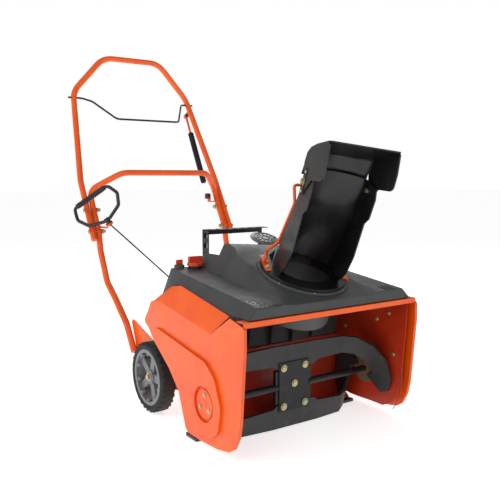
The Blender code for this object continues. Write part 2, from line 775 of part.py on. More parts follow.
def make_clamp_plate(side, name):
    """A steel plate that clamps the paddles to the core, with its bolt heads."""
    face = AUGER_DEPTH + side * (PADDLE_THICKNESS / 2 + (2 - side) * GAP)
    far = face + side * 0.003
    low, high = sorted((face, far))
    bottom, top = AUGER_HEIGHT - 0.066, AUGER_HEIGHT + 0.066
    plate = block(name, at(CLAMP_X - 0.050, low, bottom), at(CLAMP_X + 0.050, high, top), "black_steel")
    heads = []
    for index, (x, z) in enumerate(((-0.036, 0.052), (0.036, 0.052), (0, 0.006), (-0.036, -0.052), (0.036, -0.052))):
        spot = at(CLAMP_X + x, far, AUGER_HEIGHT + z)
        heads.append(rod(f"head_{index}_{name}", spot, (0, side, 0), 0.0065, -0.0015, 0.0045, None, 6))
    return join(plate, *heads)


def make_bearing(name, inner_x, outward):
    """A flanged bearing for the auger shaft, seated in the bore of a side wall."""
    centre = at(inner_x, AUGER_DEPTH, AUGER_HEIGHT)
    bore = running_bore(SHAFT_RADIUS)
    seat = BEARING_RADIUS - GAP
    profile = [
        (0.040, 0.004),
        (0.040, GAP),
        (seat, GAP),
        (seat, -0.005),
        (bore, -0.005),
        (bore, 0.004),
    ]
    return turned(name, profile, centre, (outward, 0, 0), "zinc")


# ---------------------------------------------------------------- frame, wheels and handle


def frame_side(side, name):
    """One cheek of the rear frame, from the housing to the axle and the handle tube."""
    outline = [
        (0.294, 0.175),
        (0.294, 0.120),
        (0.330, 0.085),
        (0.480, 0.070),
        (0.560, 0.085),
        (0.645, 0.120),
        (0.690, 0.232),
        (0.660, 0.226),
        (0.520, DECK_HEIGHT + SHEET),
        (0.294, DECK_HEIGHT + SHEET),
    ]
    outer = side * FRAME_HALF_WIDTH
    return side_sheet(name, fillet(outline, 0.008, 1, True), outer - side * SHEET, outer, "orange_paint")


def make_rear_frame():
    """The steel frame behind the housing: an engine deck between two cheeks with axle holes."""
    frame = frame_side(-1, "rear_frame")
    cheek = frame_side(1, "frame_cheek_right")
    edge = FRAME_HALF_WIDTH - 0.001
    deck = block("frame_deck", at(-edge, 0.294, DECK_HEIGHT), at(edge, 0.520, DECK_HEIGHT + SHEET))
    low = block("frame_cross", at(-edge, 0.294, 0.125), at(edge, 0.294 + SHEET, DECK_HEIGHT + 0.001))
    axle_hole = rod(
        "frame_axle_hole",
        at(0, WHEEL_DEPTH, WHEEL_RADIUS),
        (1, 0, 0),
        AXLE_RADIUS + 0.00005,
        -0.3,
        0.3,
    )
    return cut(join(frame, cheek, deck, low), axle_hole)


def make_axle():
    """The rod that carries both wheels."""
    reach = WHEEL_OUTER_X - 0.013
    return rod("axle", at(0, WHEEL_DEPTH, WHEEL_RADIUS), (1, 0, 0), AXLE_RADIUS, -reach, reach, "zinc")


def make_rim(side, name):
    """A plastic wheel: hub, five broad spokes and a rim ring."""
    centre = at(side * WHEEL_X, WHEEL_DEPTH, WHEEL_RADIUS)
    rim_outer = WHEEL_RADIUS - TYRE_SECTION - GAP
    rim_inner = rim_outer - 0.010
    half = WHEEL_WIDTH / 2 - 0.003
    bore = running_bore(AXLE_RADIUS)
    ring_profile = [(rim_outer, half), (rim_outer, -half), (rim_inner, -half), (rim_inner, half)]
    rim = turned(name, ring_profile, centre, (side, 0, 0), "rim_plastic", 32)
    hub_profile = [(0.021, half - 0.008), (0.021, -half), (bore, -half), (bore, half - 0.008)]
    hub = turned("hub_" + name, hub_profile, centre, (side, 0, 0), None)
    spokes = []
    for index in range(5):
        angle = math.radians(90 + 72 * index)
        spoke = block(f"spoke_{index}_{name}", Vector((-0.008, -0.011, 0.015)), Vector((0.006, 0.011, rim_outer - 0.004)))
        middle = spoke.location.copy()
        turn = Matrix.Rotation(angle, 4, "X")
        spoke.matrix_world = Matrix.Translation(centre) @ turn @ Matrix.Translation(middle)
        spokes.append(spoke)
    return join(rim, hub, *spokes)


def make_tyre(side, name):
    """A solid rubber tyre round a rim."""
    centre = at(side * WHEEL_X, WHEEL_DEPTH, WHEEL_RADIUS)
    half = WHEEL_WIDTH / 2
    inner = WHEEL_RADIUS - TYRE_SECTION
    profile = [
        (WHEEL_RADIUS - 0.010, half),
        (WHEEL_RADIUS - 0.002, half - 0.006),
        (WHEEL_RADIUS, half - 0.013),
        (WHEEL_RADIUS, -half + 0.013),
        (WHEEL_RADIUS - 0.002, -half + 0.006),
        (WHEEL_RADIUS - 0.010, -half),
        (inner, -half + 0.004),
        (inner, half - 0.004),
    ]
    return turned(name, profile, centre, (side, 0, 0), "tyre_rubber", 32)


def make_wheel_bolt(side, name):
    """The bolt and washer that keep a wheel on the axle's end."""
    centre = at(side * (WHEEL_X + WHEEL_WIDTH / 2 - 0.011 + GAP), WHEEL_DEPTH, WHEEL_RADIUS)
    profile = [(0, 0.008), (0.0075, 0.008), (0.0075, 0.002), (0.012, 0.002), (0.012, 0.0), (0, 0.0)]
    return turned(name, profile, centre, (side, 0, 0), "zinc", 12)


def handle_bolt_hole(index, side, depth, height):
    """A hole across both handle tubes for one bolt."""
    centre = at(side * HANDLE_HALF_WIDTH, depth, height)
    return rod(f"handle_hole_{index}_{side}", centre, (1, 0, 0), HANDLE_BOLT_RADIUS + GAP, -0.08, 0.08, None, 10)


def mirrored_path(half):
    """A path from the left to the right side, from its right half in (x, depth, height)."""
    left = [at(-x, depth, height) for x, depth, height in half]
    right = [at(*spot) for spot in reversed(half)]
    return left + right


def make_lower_handle():
    """The lower handle: two tubes up from the frame and a cross tube that bows forward."""
    side = HANDLE_HALF_WIDTH
    half = [
        (side, 0.646, 0.133),
        (side, 0.700, 0.212),
        (side, 0.785, 0.280),
        (side, 0.849, 0.325),
        (side, 0.900, 0.425),
        (side, *HANDLE_BOLTS[1]),
        (side, *HANDLE_BOLTS[0]),
        (side, 0.985, 0.624),
        (0.165, 0.900, 0.6834),
    ]
    handle = tube("lower_handle", fillet(mirrored_path(half), 0.05, 4), TUBE_RADIUS, "orange_paint")
    join(handle, *cable_guide_pieces(), make_rope_guide())
    return cut(handle, *(handle_bolt_hole(i, s, *HANDLE_BOLTS[i]) for i in (0, 1) for s in (-1, 1)))


def bail_pivot():
    """The (x, depth, height) of the bail's pivot on the right handle tube."""
    low, high = Vector(UPPER_BEND), Vector(UPPER_CORNER)
    return low + (high - low) * 0.93


def make_upper_handle():
    """The upper handle: a loop that the operator holds, bolted outside the lower tubes."""
    half = [
        (UPPER_TUBE_X, 0.896, 0.460),
        UPPER_BEND,
        UPPER_CORNER,
        (GRIP_HALF_WIDTH, HANDLE_DEPTH, HANDLE_TOP),
    ]
    handle = tube("upper_handle", fillet(mirrored_path(half), 0.085, 6), TUBE_RADIUS, "orange_paint")
    holes = [handle_bolt_hole(i + 2, s, *HANDLE_BOLTS[i]) for i in (0, 1) for s in (-1, 1)]
    pivot = bail_pivot()
    bail_hole = rod(
        "bail_hole", at(0, pivot.y, pivot.z), (1, 0, 0), running_bore(BAIL_RADIUS, 10), -0.4, 0.4, None, 10
    )
    return cut(handle, *holes, bail_hole)


def make_handle_bolt(side, index, name):
    """A bolt through an upper and a lower handle tube, with its head out and its nut in."""
    centre = at(side * HANDLE_HALF_WIDTH, *HANDLE_BOLTS[index])
    outside = UPPER_TUBE_X - HANDLE_HALF_WIDTH + TUBE_RADIUS + GAP
    inside = -TUBE_RADIUS - GAP
    shank = HANDLE_BOLT_RADIUS
    profile = [
        (0, outside + 0.004),
        (0.0060, outside + 0.003),
        (0.0075, outside),
        (shank, outside),
        (shank, inside),
        (0.0085, inside),
        (0.0085, inside - 0.006),
        (0.0060, inside - 0.006),
        (0.0060, inside - 0.012),
        (0, inside - 0.012),
    ]
    return turned(name, profile, centre, (side, 0, 0), "zinc", 12)


def make_clutch_bail():
    """The rod that the operator squeezes to the handle, hooked through both tubes."""
    pivot = bail_pivot()
    tube_x = pivot.x
    out = tube_x + 0.020
    drop_depth, drop_height = 1.0317, 0.8734
    path = [
        at(-out, pivot.y, pivot.z),
        at(-(tube_x - 0.030), pivot.y, pivot.z),
        at(-0.180, pivot.y - 0.040, pivot.z - 0.014),
        at(-0.1235, drop_depth, drop_height),
        at(0.1235, drop_depth, drop_height),
        at(0.180, pivot.y - 0.040, pivot.z - 0.014),
        at(tube_x - 0.030, pivot.y, pivot.z),
        at(out, pivot.y, pivot.z),
    ]
    return tube("clutch_bail", fillet(path, 0.02, 3), BAIL_RADIUS, "black_steel", 8)


# ---------------------------------------------------------------- controls on the handle

LEVER_TOP = (0.240, 1.182, 0.912)
LEVER_END = (0.240, 1.046, 0.648)
LEVER_PIN_RADIUS = 0.0033


def lever_spot(share):
    """A point along the chute lever, from its pivot at 0 to its free end at 1."""
    top, end = Vector(LEVER_TOP), Vector(LEVER_END)
    return at(*(top + (end - top) * share))


def lever_swing_axis():
    """The pin direction of the chute lever, square to the lever and to the machine's width."""
    along = (lever_spot(1) - lever_spot(0)).normalized()
    return along.cross(Vector((1, 0, 0))).normalized()


def make_lever_bracket():
    """The tab behind the right handle tube, with the pin that the chute lever swings on."""
    pin_axis = lever_swing_axis()
    pivot = lever_spot(0)
    along = (lever_spot(1) - pivot).normalized()
    nearest, _ = intersect_point_line(pivot, at(*UPPER_BEND), at(*UPPER_CORNER))
    reach = (nearest - pivot).length - TUBE_RADIUS - 2 * GAP
    columns = Matrix((pin_axis.cross(along), pin_axis, along)).transposed().to_4x4()
    tab = [(-0.007, 0.0085), (0.007, 0.0085), (0.010, reach), (-0.010, reach)]
    bracket = sheet_outline("lever_bracket", tab, 0.004, Matrix.Translation(pivot) @ columns, "black_steel")
    pin = rod("lever_pin", pivot, pin_axis, LEVER_PIN_RADIUS, -0.0085, 0.0100, None, 10)
    head = rod("lever_pin_head", pivot, pin_axis, 0.0065, -0.0095, -0.0065, None, 10)
    return join(bracket, pin, head)


def make_chute_lever():
    """The lever rod that turns the chute, with the eye that swings on the bracket's pin."""
    rod_path = [lever_spot(0), lever_spot(0.97)]
    lever = tube("chute_lever", rod_path, 0.0045, "orange_paint", 8)
    axis = lever_swing_axis()
    eye = rod("lever_eye", lever_spot(0), axis, 0.009, -0.0055, 0.0055, None, 14)
    hole = rod("lever_eye_hole", lever_spot(0), axis, running_bore(LEVER_PIN_RADIUS, 14), -0.02, 0.02, None, 14)
    return cut(join(lever, eye), hole)


def make_lever_grip():
    """The foam sleeve on the chute lever."""
    start, end = lever_spot(0.26), lever_spot(1.0)
    along = (end - start).normalized()
    length = (end - start).length
    radius = 0.011
    profile = [
        (0.0, length),
        (radius - 0.002, length),
        (radius, length - 0.003),
        (radius, 0.003),
        (radius - 0.002, 0.0),
        (0.0045 + GAP, 0.0),
        (0.0045 + GAP, length - 0.008),
        (0.0, length - 0.008),
    ]
    return turned("lever_grip", profile, start, along, "foam", 14)


def cable_guide_pieces():
    """The tab on the right tube and the pin that the cable roller turns on."""
    edge = HANDLE_HALF_WIDTH - 0.004
    base = block("guide_base", at(0.214, 0.955, 0.575), at(edge, 0.975, 0.5785))
    ear = block("guide_ear", at(0.214, 0.955, 0.5765), at(0.2165, 0.975, 0.607))
    pin = rod("guide_pin", at(0.2165, 0.965, 0.597), (-1, 0, 0), 0.003, -0.001, 0.020, None, 10)
    return base, ear, pin


def make_guide_roller():
    """The grooved roller on the cable guide's pin."""
    profile = [
        (0.011, 0.012),
        (0.011, 0.010),
        (0.007, 0.007),
        (0.011, 0.004),
        (0.011, 0.002),
        (running_bore(0.003, 16), 0.002),
        (running_bore(0.003, 16), 0.012),
    ]
    return turned("guide_roller", profile, at(0.214, 0.965, 0.597), (-1, 0, 0), "black_plastic", 16)


# ---------------------------------------------------------------- recoil starter

ROPE_TOP = (-0.2300, 0.8600, 0.5135)
ROPE_LOW = (-0.1290, 0.5050, 0.3144)
PULL = Vector((-0.426, 0.403, 0.811)).normalized()
GRIP_ALONG = Vector((0.703, -0.408, 0.582)).normalized()
GUIDE_RADIUS = 0.0125


def make_recoil_handle():
    """The D-shaped pull handle, whose neck rests on the rope guide."""
    top = at(*ROPE_TOP)
    along = (GRIP_ALONG - PULL * GRIP_ALONG.dot(PULL)).normalized()
    loop = [(0.018, 0.012), (0.036, 0.060), (0.072, 0.080), (0.110, 0.066)]
    loop += [(pull, -across) for pull, across in reversed(loop)]
    points = fillet([top + PULL * pull + along * across for pull, across in loop], 0.016, 3, True)
    handle = tube("recoil_handle", points, 0.0058, "black_plastic", 8, closed=True)
    grip = rod("recoil_grip", top + PULL * 0.110, along, 0.0085, -0.056, 0.056, None, 12)
    neck = rod("recoil_neck", top, PULL, 0.0085, 0.0035, 0.024, None, 12)
    shoulder = rod("recoil_shoulder", top, PULL, GUIDE_RADIUS, 0.0035, 0.0075, None, 14)
    return join(handle, grip, neck, shoulder)


def make_starter_rope():
    """The rope from the starter's eyelet up through the guide to the handle's neck."""
    top, low = at(*ROPE_TOP), at(*ROPE_LOW)
    along = (top - low).normalized()
    path = fillet([low - along * 0.006, top, top + PULL * (0.0035 - GAP)], 0.004, 3)
    return tube("starter_rope", path, 0.0022, "rope", 8)


def make_rope_guide():
    """The orange wire from the left handle tube, with the loop that the rope runs through."""
    top = at(*ROPE_TOP)
    across = PULL.cross(Vector((1, 0, 0))).normalized()
    square = PULL.cross(across)
    turns = 11
    loop = []
    for step in range(turns + 1):
        angle = math.radians(30 + 330 * step / turns)
        ring = across * math.cos(angle) + square * math.sin(angle)
        loop.append(top + ring * (GUIDE_RADIUS - 0.003))
    tube_side = at(-(HANDLE_HALF_WIDTH - 0.004), 0.922, 0.503)
    arm = fillet([loop[-1], top + (tube_side - top) * 0.45 - PULL * 0.010, tube_side], 0.01, 2)
    return tube("rope_guide", loop + arm[1:], 0.003, None, 8)


# ---------------------------------------------------------------- engine

FUEL_CAP_PLACE = (-0.172, 0.402)
KEY_PLACE = (-0.212, 0.420)


def make_engine_block():
    """The engine: crankcase, upright cylinder and the bosses for the crankshaft."""
    block_low = at(-0.100, 0.330, DECK_HEIGHT + SHEET + GAP)
    engine = block("engine_block", block_low, at(0.125, 0.500, 0.335), "cast_aluminium", 0.006)
    cylinder = block("engine_cylinder", at(-0.055, 0.365, 0.330), at(0.085, 0.456, 0.418), None, 0.004)
    boss = rod("engine_boss", at(0.120, CRANK_DEPTH, CRANK_HEIGHT), (1, 0, 0), 0.034, 0.0, 0.030, None, 20)
    bore = rod("engine_bore", at(0.150, CRANK_DEPTH, CRANK_HEIGHT), (1, 0, 0), running_bore(CRANK_RADIUS, 20), -0.2, 0.1, None, 20)
    return cut(join(engine, cylinder, boss), bore)


def make_crankshaft():
    """The crankshaft's drive end, out through the frame side to the belt pulley."""
    centre = at(0, CRANK_DEPTH, CRANK_HEIGHT)
    shaft = rod("crankshaft", centre, (1, 0, 0), CRANK_RADIUS, -0.045, PULLEY_X + 0.0135, "bright_steel", 20)
    wheel = pulley("crank_pulley", CRANK_DEPTH, CRANK_HEIGHT, CRANK_PULLEY_RADIUS, 0.009, PULLEY_X, None)
    return join(shaft, wheel)


def pulley(name, depth, height, radius, bore, low_x, finish, steps=28):
    """A flat-belt pulley with two rims, between low_x and the end of the belt bay."""
    centre = at(low_x, depth, height)
    wide = BELT_WIDTH + 0.003
    floor = radius - BELT_THICKNESS
    profile = [
        (radius, wide),
        (radius, wide - 0.0012),
        (floor, wide - 0.0012),
        (floor, 0.0012),
        (radius, 0.0012),
        (radius, 0.0),
        (bore, 0.0),
        (bore, wide),
    ]
    return turned(name, profile, centre, (1, 0, 0), finish, steps)


def belt_path(offset):
    """The closed (depth, height) outline of the belt round both pulleys, at an offset from their floors."""
    small = CRANK_PULLEY_RADIUS - BELT_THICKNESS + offset
    large = AUGER_PULLEY_RADIUS - BELT_THICKNESS + offset
    run = Vector((CRANK_DEPTH - AUGER_DEPTH, CRANK_HEIGHT - AUGER_HEIGHT))
    heading = math.degrees(math.atan2(run.y, run.x))
    spread = math.degrees(math.acos((large - small) / run.length))
    front = arc((AUGER_DEPTH, AUGER_HEIGHT), large, heading + spread, heading + 360 - spread, 16)
    rear = arc((CRANK_DEPTH, CRANK_HEIGHT), small, heading - spread, heading + spread, 8)
    return front + rear


def make_drive_belt():
    """The belt from the crankshaft pulley to the auger pulley."""
    low = PULLEY_X + 0.0015
    high = low + BELT_WIDTH
    belt = side_sheet("drive_belt", belt_path(BELT_THICKNESS), low, high, "belt_rubber")
    return cut(belt, side_sheet("belt_inside", belt_path(0.001), low - 0.01, high + 0.01, None))


def idler_places():
    """The idler's pivot and the centre of its roller, clear of the belt's upper run."""
    heading = Vector((CRANK_DEPTH - AUGER_DEPTH, CRANK_HEIGHT - AUGER_HEIGHT)).normalized()
    above = Vector((-heading.y, heading.x))
    middle = Vector((AUGER_DEPTH, AUGER_HEIGHT)) + heading * 0.215
    belt_top = CRANK_PULLEY_RADIUS + (AUGER_PULLEY_RADIUS - CRANK_PULLEY_RADIUS) * 0.30
    roller = middle + above * (belt_top + IDLER_RADIUS + 0.007)
    pivot = roller - heading * 0.085 + above * 0.004
    return pivot, roller


def make_idler_arm():
    """The arm that presses the idler on the belt, with pins for its pivot and its roller."""
    pivot, roller = idler_places()
    along = (roller - pivot).normalized()
    square = Vector((-along.y, along.x))
    outline = [
        pivot - along * 0.010 + square * 0.008,
        pivot - along * 0.010 - square * 0.008,
        roller + along * 0.008 - square * 0.007,
        roller + along * 0.008 + square * 0.007,
    ]
    low = BELT_WALL_X + 0.0008
    arm = side_sheet("idler_arm", outline, low, low + 0.0026, "black_steel")
    pin = rod("idler_pin", at(low, *roller), (1, 0, 0), 0.004, 0.001, 0.0170, None, 12)
    return join(arm, pin)


def make_idler_pulley():
    """The roller at the end of the idler arm."""
    _, roller = idler_places()
    centre = at(BELT_WALL_X + 0.0044, *roller)
    bore = running_bore(0.004, 20)
    profile = [(IDLER_RADIUS, 0.011), (IDLER_RADIUS, 0.0), (bore, 0.0), (bore, 0.011)]
    return turned("idler_pulley", profile, centre, (1, 0, 0), "black_plastic", 20)


def make_recoil_starter():
    """The starter housing on the engine's left face, with an eyelet for the rope."""
    centre = at(-0.100 - GAP, CRANK_DEPTH, CRANK_HEIGHT)
    profile = [(0, 0.042), (0.060, 0.042), (0.078, 0.034), (0.084, 0.0), (0, 0.0)]
    starter = turned("recoil_starter", profile, centre, (-1, 0, 0), "black_plastic", 28)
    low = at(*ROPE_LOW)
    along = (at(*ROPE_TOP) - low).normalized()
    eyelet = rod("rope_eyelet", low, along, 0.007, -0.022, 0.004, None, 14)
    bore = rod("rope_bore", low, along, 0.0022 + RUNNING_GAP, -0.016, 0.020, None, 12)
    return cut(join(starter, eyelet), bore)


def make_muffler():
    """The muffler can on top of the cylinder."""
    return block("muffler", at(-0.030, 0.352, 0.4185), at(0.095, 0.418, 0.462), "bright_steel", 0.010)


def make_muffler_guard():
    """The punched guard over the exhaust: an upright sheet with flanges turned to the front."""
    low, high = at(-0.112, 0.428, 0.400), at(0.100, 0.4625, 0.517)
    shell = block("muffler_guard", low, high, "black_steel")
    wall = 0.002
    inside = block(
        "guard_inside", low + Vector((wall, -0.01, -0.02)), high - Vector((wall, wall, wall))
    )
    slots = []
    for index in range(7):
        x = -0.104 + 0.029 * index
        slots.append(block(f"guard_slot_{index}", at(x, 0.436, 0.50), at(x + 0.016, 0.455, 0.53)))
    for index in range(3):
        z = 0.420 + 0.029 * index
        slots.append(block(f"guard_side_slot_{index}", at(-0.13, 0.436, z), at(-0.10, 0.455, z + 0.016)))
    return cut(shell, inside, *slots)


def make_heat_shield():
    """The bright stamped disc over the muffler, tilted like the hood's front slope."""
    centre = at(0.050, 0.374, 0.488)
    _, _, _, up = ring_axes()
    profile = [(0, 0.004), (0.036, 0.004), (0.045, 0.0), (0.045, -0.002), (0, -0.002)]
    disc = turned("heat_shield", profile, centre, up, "bright_steel", 28)
    return join(disc, rod("shield_stem", centre, up, 0.008, -0.024, 0.001, None, 12))


def make_fuel_tank():
    """The fuel tank under the hood's left wing, with its filler neck."""
    tank = block("fuel_tank", at(-0.238, 0.320, 0.315), at(-0.1445, 0.440, 0.388), "black_plastic", 0.008)
    neck = rod("tank_neck", at(*FUEL_CAP_PLACE, 0.386), (0, 0, 1), 0.0185, -0.004, 0.036, None, 20)
    return join(tank, neck)


def make_fuel_cap():
    """The two-lobed fuel cap on the filler neck."""
    centre = at(*FUEL_CAP_PLACE, 0.4223 + GAP)
    skirt = turned(
        "fuel_cap",
        [(0, 0.010), (0.020, 0.010), (0.0225, 0.007), (0.0225, 0.0), (0, 0.0)],
        centre,
        (0, 0, 1),
        "cap_red",
        24,
    )
    wing = block("cap_wing", centre + Vector((-0.020, -0.006, 0.008)), centre + Vector((0.020, 0.006, 0.026)))
    return join(skirt, wing)


def make_switch_base():
    """The round base of the engine's stop switch, moulded on the hood."""
    return rod("switch_base", at(*KEY_PLACE, 0.405), (0, 0, 1), 0.0145, -0.004, 0.0205, None, 20)


def make_switch_key():
    """The orange key that pulls up out of the stop switch."""
    centre = at(*KEY_PLACE, 0.405)
    stem = rod("switch_key", centre, (0, 0, 1), 0.0026, 0.002, 0.026, "cap_red", 12)
    head = block("key_head", centre + Vector((-0.010, -0.0025, 0.0213)), centre + Vector((0.010, 0.0025, 0.035)))
    return join(stem, head)


def make_air_box():
    """The carburettor cover at the back of the engine, bored for the choke and the primer."""
    box = block("air_box", at(-0.020, 0.5003, 0.225), at(0.100, 0.560, 0.345), "black_plastic", 0.006)
    primer = rod("primer_hole", at(0.070, 0.560, 0.262), (0, 1, 0), running_bore(0.0115, 20), -0.016, 0.02, None, 20)
    choke = rod("choke_hole", at(0.018, 0.560, 0.262), (0, 1, 0), running_bore(0.0038, 16), -0.016, 0.02, None, 16)
    return cut(box, primer, choke)


def make_primer():
    """The primer bulb that is pushed before a cold start."""
    profile = [(0, 0.009), (0.006, 0.008), (0.010, 0.004), (0.0115, -0.001), (0.0115, -0.005), (0, -0.005)]
    return turned("primer_bulb", profile, at(0.070, 0.560, 0.262), (0, 1, 0), "cap_red", 20)


def make_choke():
    """The choke knob on its spindle."""
    profile = [(0, 0.014), (0.014, 0.014), (0.016, 0.002), (0.0038, 0.002), (0.0038, -0.012), (0, -0.012)]
    choke = turned("choke_knob", profile, at(0.018, 0.560, 0.262), (0, 1, 0), "black_plastic", 20)
    wing = block("choke_wing", at(0.0155, 0.572, 0.250), at(0.0205, 0.582, 0.274))
    return join(choke, wing)


# ---------------------------------------------------------------- assembly


def make_intake():
    """The housing, its covers and the scraper."""
    make_side_plate(-1, "left_side_plate")
    make_side_plate(1, "right_side_plate")
    make_belt_wall()
    make_back_panel()
    make_lip_bar()
    make_scraper_bar()
    make_discharge_throat()
    make_hood()


def make_chute_group():
    """The ring and everything that turns on it."""
    make_ring()
    make_chute()
    make_deflector()
    make_chute_handle()
    for side, word in ((-1, "left"), (1, "right")):
        make_deflector_bolt(side, f"deflector_bolt_{word}")
        make_chute_bracket(side, f"chute_bracket_{word}")


def make_auger_group():
    """The auger with its paddles, clamps and bearings."""
    make_auger_shaft()
    make_paddle("upper_paddle", 0.0)
    make_paddle("lower_paddle", math.pi)
    make_clamp_plate(-1, "front_clamp_plate")
    make_bearing("auger_bearing_left", -PLATE_INNER, 1)
    make_bearing("auger_bearing_right", BELT_WALL_X - SHEET, -1)


def make_running_gear():
    """The frame, the axle and both wheels."""
    make_rear_frame()
    make_axle()
    for side, word in ((-1, "left"), (1, "right")):
        make_rim(side, f"wheel_rim_{word}")
        make_tyre(side, f"tyre_{word}")
        make_wheel_bolt(side, f"wheel_bolt_{word}")


def make_handles():
    """Both handles, their bolts and the controls on them."""
    make_lower_handle()
    make_upper_handle()
    for side, word in ((-1, "left"), (1, "right")):
        for index, level in ((0, "upper"), (1, "lower")):
            make_handle_bolt(side, index, f"handle_bolt_{level}_{word}")
    make_clutch_bail()
    make_lever_bracket()
    make_chute_lever()
    make_lever_grip()
    make_guide_roller()
    make_recoil_handle()
    make_starter_rope()


def make_engine_group():
    """The engine with what is fixed to it, and the drive to the auger."""
    make_engine_block()
    make_crankshaft()
    make_recoil_starter()
    make_muffler()
    make_muffler_guard()
    make_heat_shield()
    make_fuel_tank()
    make_fuel_cap()
    make_switch_key()
    make_air_box()
    make_primer()
    make_choke()
    pulley("auger_pulley", AUGER_DEPTH, AUGER_HEIGHT, AUGER_PULLEY_RADIUS, SHAFT_RADIUS + GAP, PULLEY_X, "black_steel")
    make_drive_belt()
    make_idler_arm()
    make_idler_pulley()


def pivot_of(name, centre, *pieces):
    """An empty on a joint's axis, as the parent of the pieces that move on it."""
    bpy.context.view_layer.update()
    pivot = bpy.data.objects.new("pivot_" + name, None)
    pivot.location = centre
    bpy.data.collections["snowblower"].objects.link(pivot)
    bpy.context.view_layer.update()
    for piece in pieces:
        thing = bpy.data.objects[piece]
        thing.parent = pivot
        thing.matrix_parent_inverse = pivot.matrix_world.inverted()
    return pivot


def make_pivots():
    """The pivots of every moving piece, each on its joint's axis."""
    chute_pieces = ("chute", "chute_handle", "chute_bracket_left", "chute_bracket_right")
    chute_bolts = ("deflector_bolt_left", "deflector_bolt_right")
    pivot_of("chute", ring_axes()[0], *chute_pieces, *chute_bolts)
    pivot_of("deflector", chute_point(0, *CHUTE_PIVOT), "deflector")
    rotor = ("auger_shaft", "upper_paddle", "lower_paddle", "front_clamp_plate", "auger_pulley")
    pivot_of("auger", at(0, AUGER_DEPTH, AUGER_HEIGHT), *rotor)
    pivot_of("crankshaft", at(0, CRANK_DEPTH, CRANK_HEIGHT), "crankshaft")
    for side, word in ((-1, "left"), (1, "right")):
        hub = at(side * WHEEL_X, WHEEL_DEPTH, WHEEL_RADIUS)
        pivot_of(f"wheel_{word}", hub, f"wheel_rim_{word}", f"tyre_{word}")
    bail = bail_pivot()
    pivot_of("bail", at(0, bail.y, bail.z), "clutch_bail")
    pivot_of("lever", lever_spot(0), "chute_lever", "lever_grip")
    arm, roller = idler_places()
    pivot_of("idler", at(BELT_WALL_X, *arm), "idler_arm")
    pivot_of("idler_roller", at(BELT_WALL_X, *roller), "idler_pulley")


def main():
    """Clears the scene and builds the snowblower."""
    for thing in list(bpy.data.objects):
        bpy.data.objects.remove(thing)
    for name in ("snowblower", "cutters"):
        bpy.context.scene.collection.children.link(bpy.data.collections.new(name))
    make_intake()
    make_chute_group()
    make_auger_group()
    make_running_gear()
    make_handles()
    make_engine_group()
    make_pivots()


main()
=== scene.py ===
"""Looks of the single stage snowblower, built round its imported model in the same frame."""

import json
import logging
import math
from dataclasses import dataclass, field
from enum import Enum
from typing import Iterable, Optional, Sequence

import bmesh
import bpy
from mathutils import Matrix, Vector
from mathutils.bvhtree import BVHTree

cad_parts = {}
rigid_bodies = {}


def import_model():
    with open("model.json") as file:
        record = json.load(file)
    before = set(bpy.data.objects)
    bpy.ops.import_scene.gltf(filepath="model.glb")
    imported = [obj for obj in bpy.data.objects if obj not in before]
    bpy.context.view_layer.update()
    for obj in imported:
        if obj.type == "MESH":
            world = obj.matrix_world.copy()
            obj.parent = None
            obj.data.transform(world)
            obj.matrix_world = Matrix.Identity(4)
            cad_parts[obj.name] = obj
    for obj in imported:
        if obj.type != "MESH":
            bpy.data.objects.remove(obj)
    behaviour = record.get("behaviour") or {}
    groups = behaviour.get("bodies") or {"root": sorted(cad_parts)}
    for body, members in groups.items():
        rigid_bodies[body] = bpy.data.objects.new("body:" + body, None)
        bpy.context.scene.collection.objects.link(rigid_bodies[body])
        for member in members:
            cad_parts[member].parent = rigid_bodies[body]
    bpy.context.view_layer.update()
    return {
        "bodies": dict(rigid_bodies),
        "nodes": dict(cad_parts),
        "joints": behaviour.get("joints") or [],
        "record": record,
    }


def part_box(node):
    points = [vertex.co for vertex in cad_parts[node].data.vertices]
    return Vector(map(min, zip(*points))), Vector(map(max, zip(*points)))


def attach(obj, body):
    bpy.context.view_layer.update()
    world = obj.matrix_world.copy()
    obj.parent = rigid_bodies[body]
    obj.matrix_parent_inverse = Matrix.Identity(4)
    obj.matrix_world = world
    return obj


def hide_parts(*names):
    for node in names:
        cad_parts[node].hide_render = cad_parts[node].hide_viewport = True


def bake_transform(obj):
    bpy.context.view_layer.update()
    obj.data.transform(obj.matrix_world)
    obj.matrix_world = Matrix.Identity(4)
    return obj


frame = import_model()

LOG = logging.getLogger("snowblower")


# ---------------------------------------------------------------- places


def middle(node: str) -> Vector:
    """The centre of a CAD node's box."""
    low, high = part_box(node)
    return (low + high) / 2


def from_lip(across: float, depth: float, height: float) -> Vector:
    """A place given from the middle of the front lip.

    Args:
        across: metres to the +X side of the machine's own middle.
        depth: metres behind the front of the lip bar.
        height: metres above the ground.

    Returns:
        The point in the row frame.
    """
    low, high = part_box("lip_bar")
    return Vector(((low.x + high.x) / 2 + across, low.y + depth, height))


def joint(name: str) -> dict:
    """The record's entry for one joint."""
    return next(entry for entry in frame["joints"] if entry["name"] == name)


def upright(axis: Vector) -> Matrix:
    """The turn that takes +Z to an axis."""
    return Vector((0, 0, 1)).rotation_difference(Vector(axis)).to_matrix()


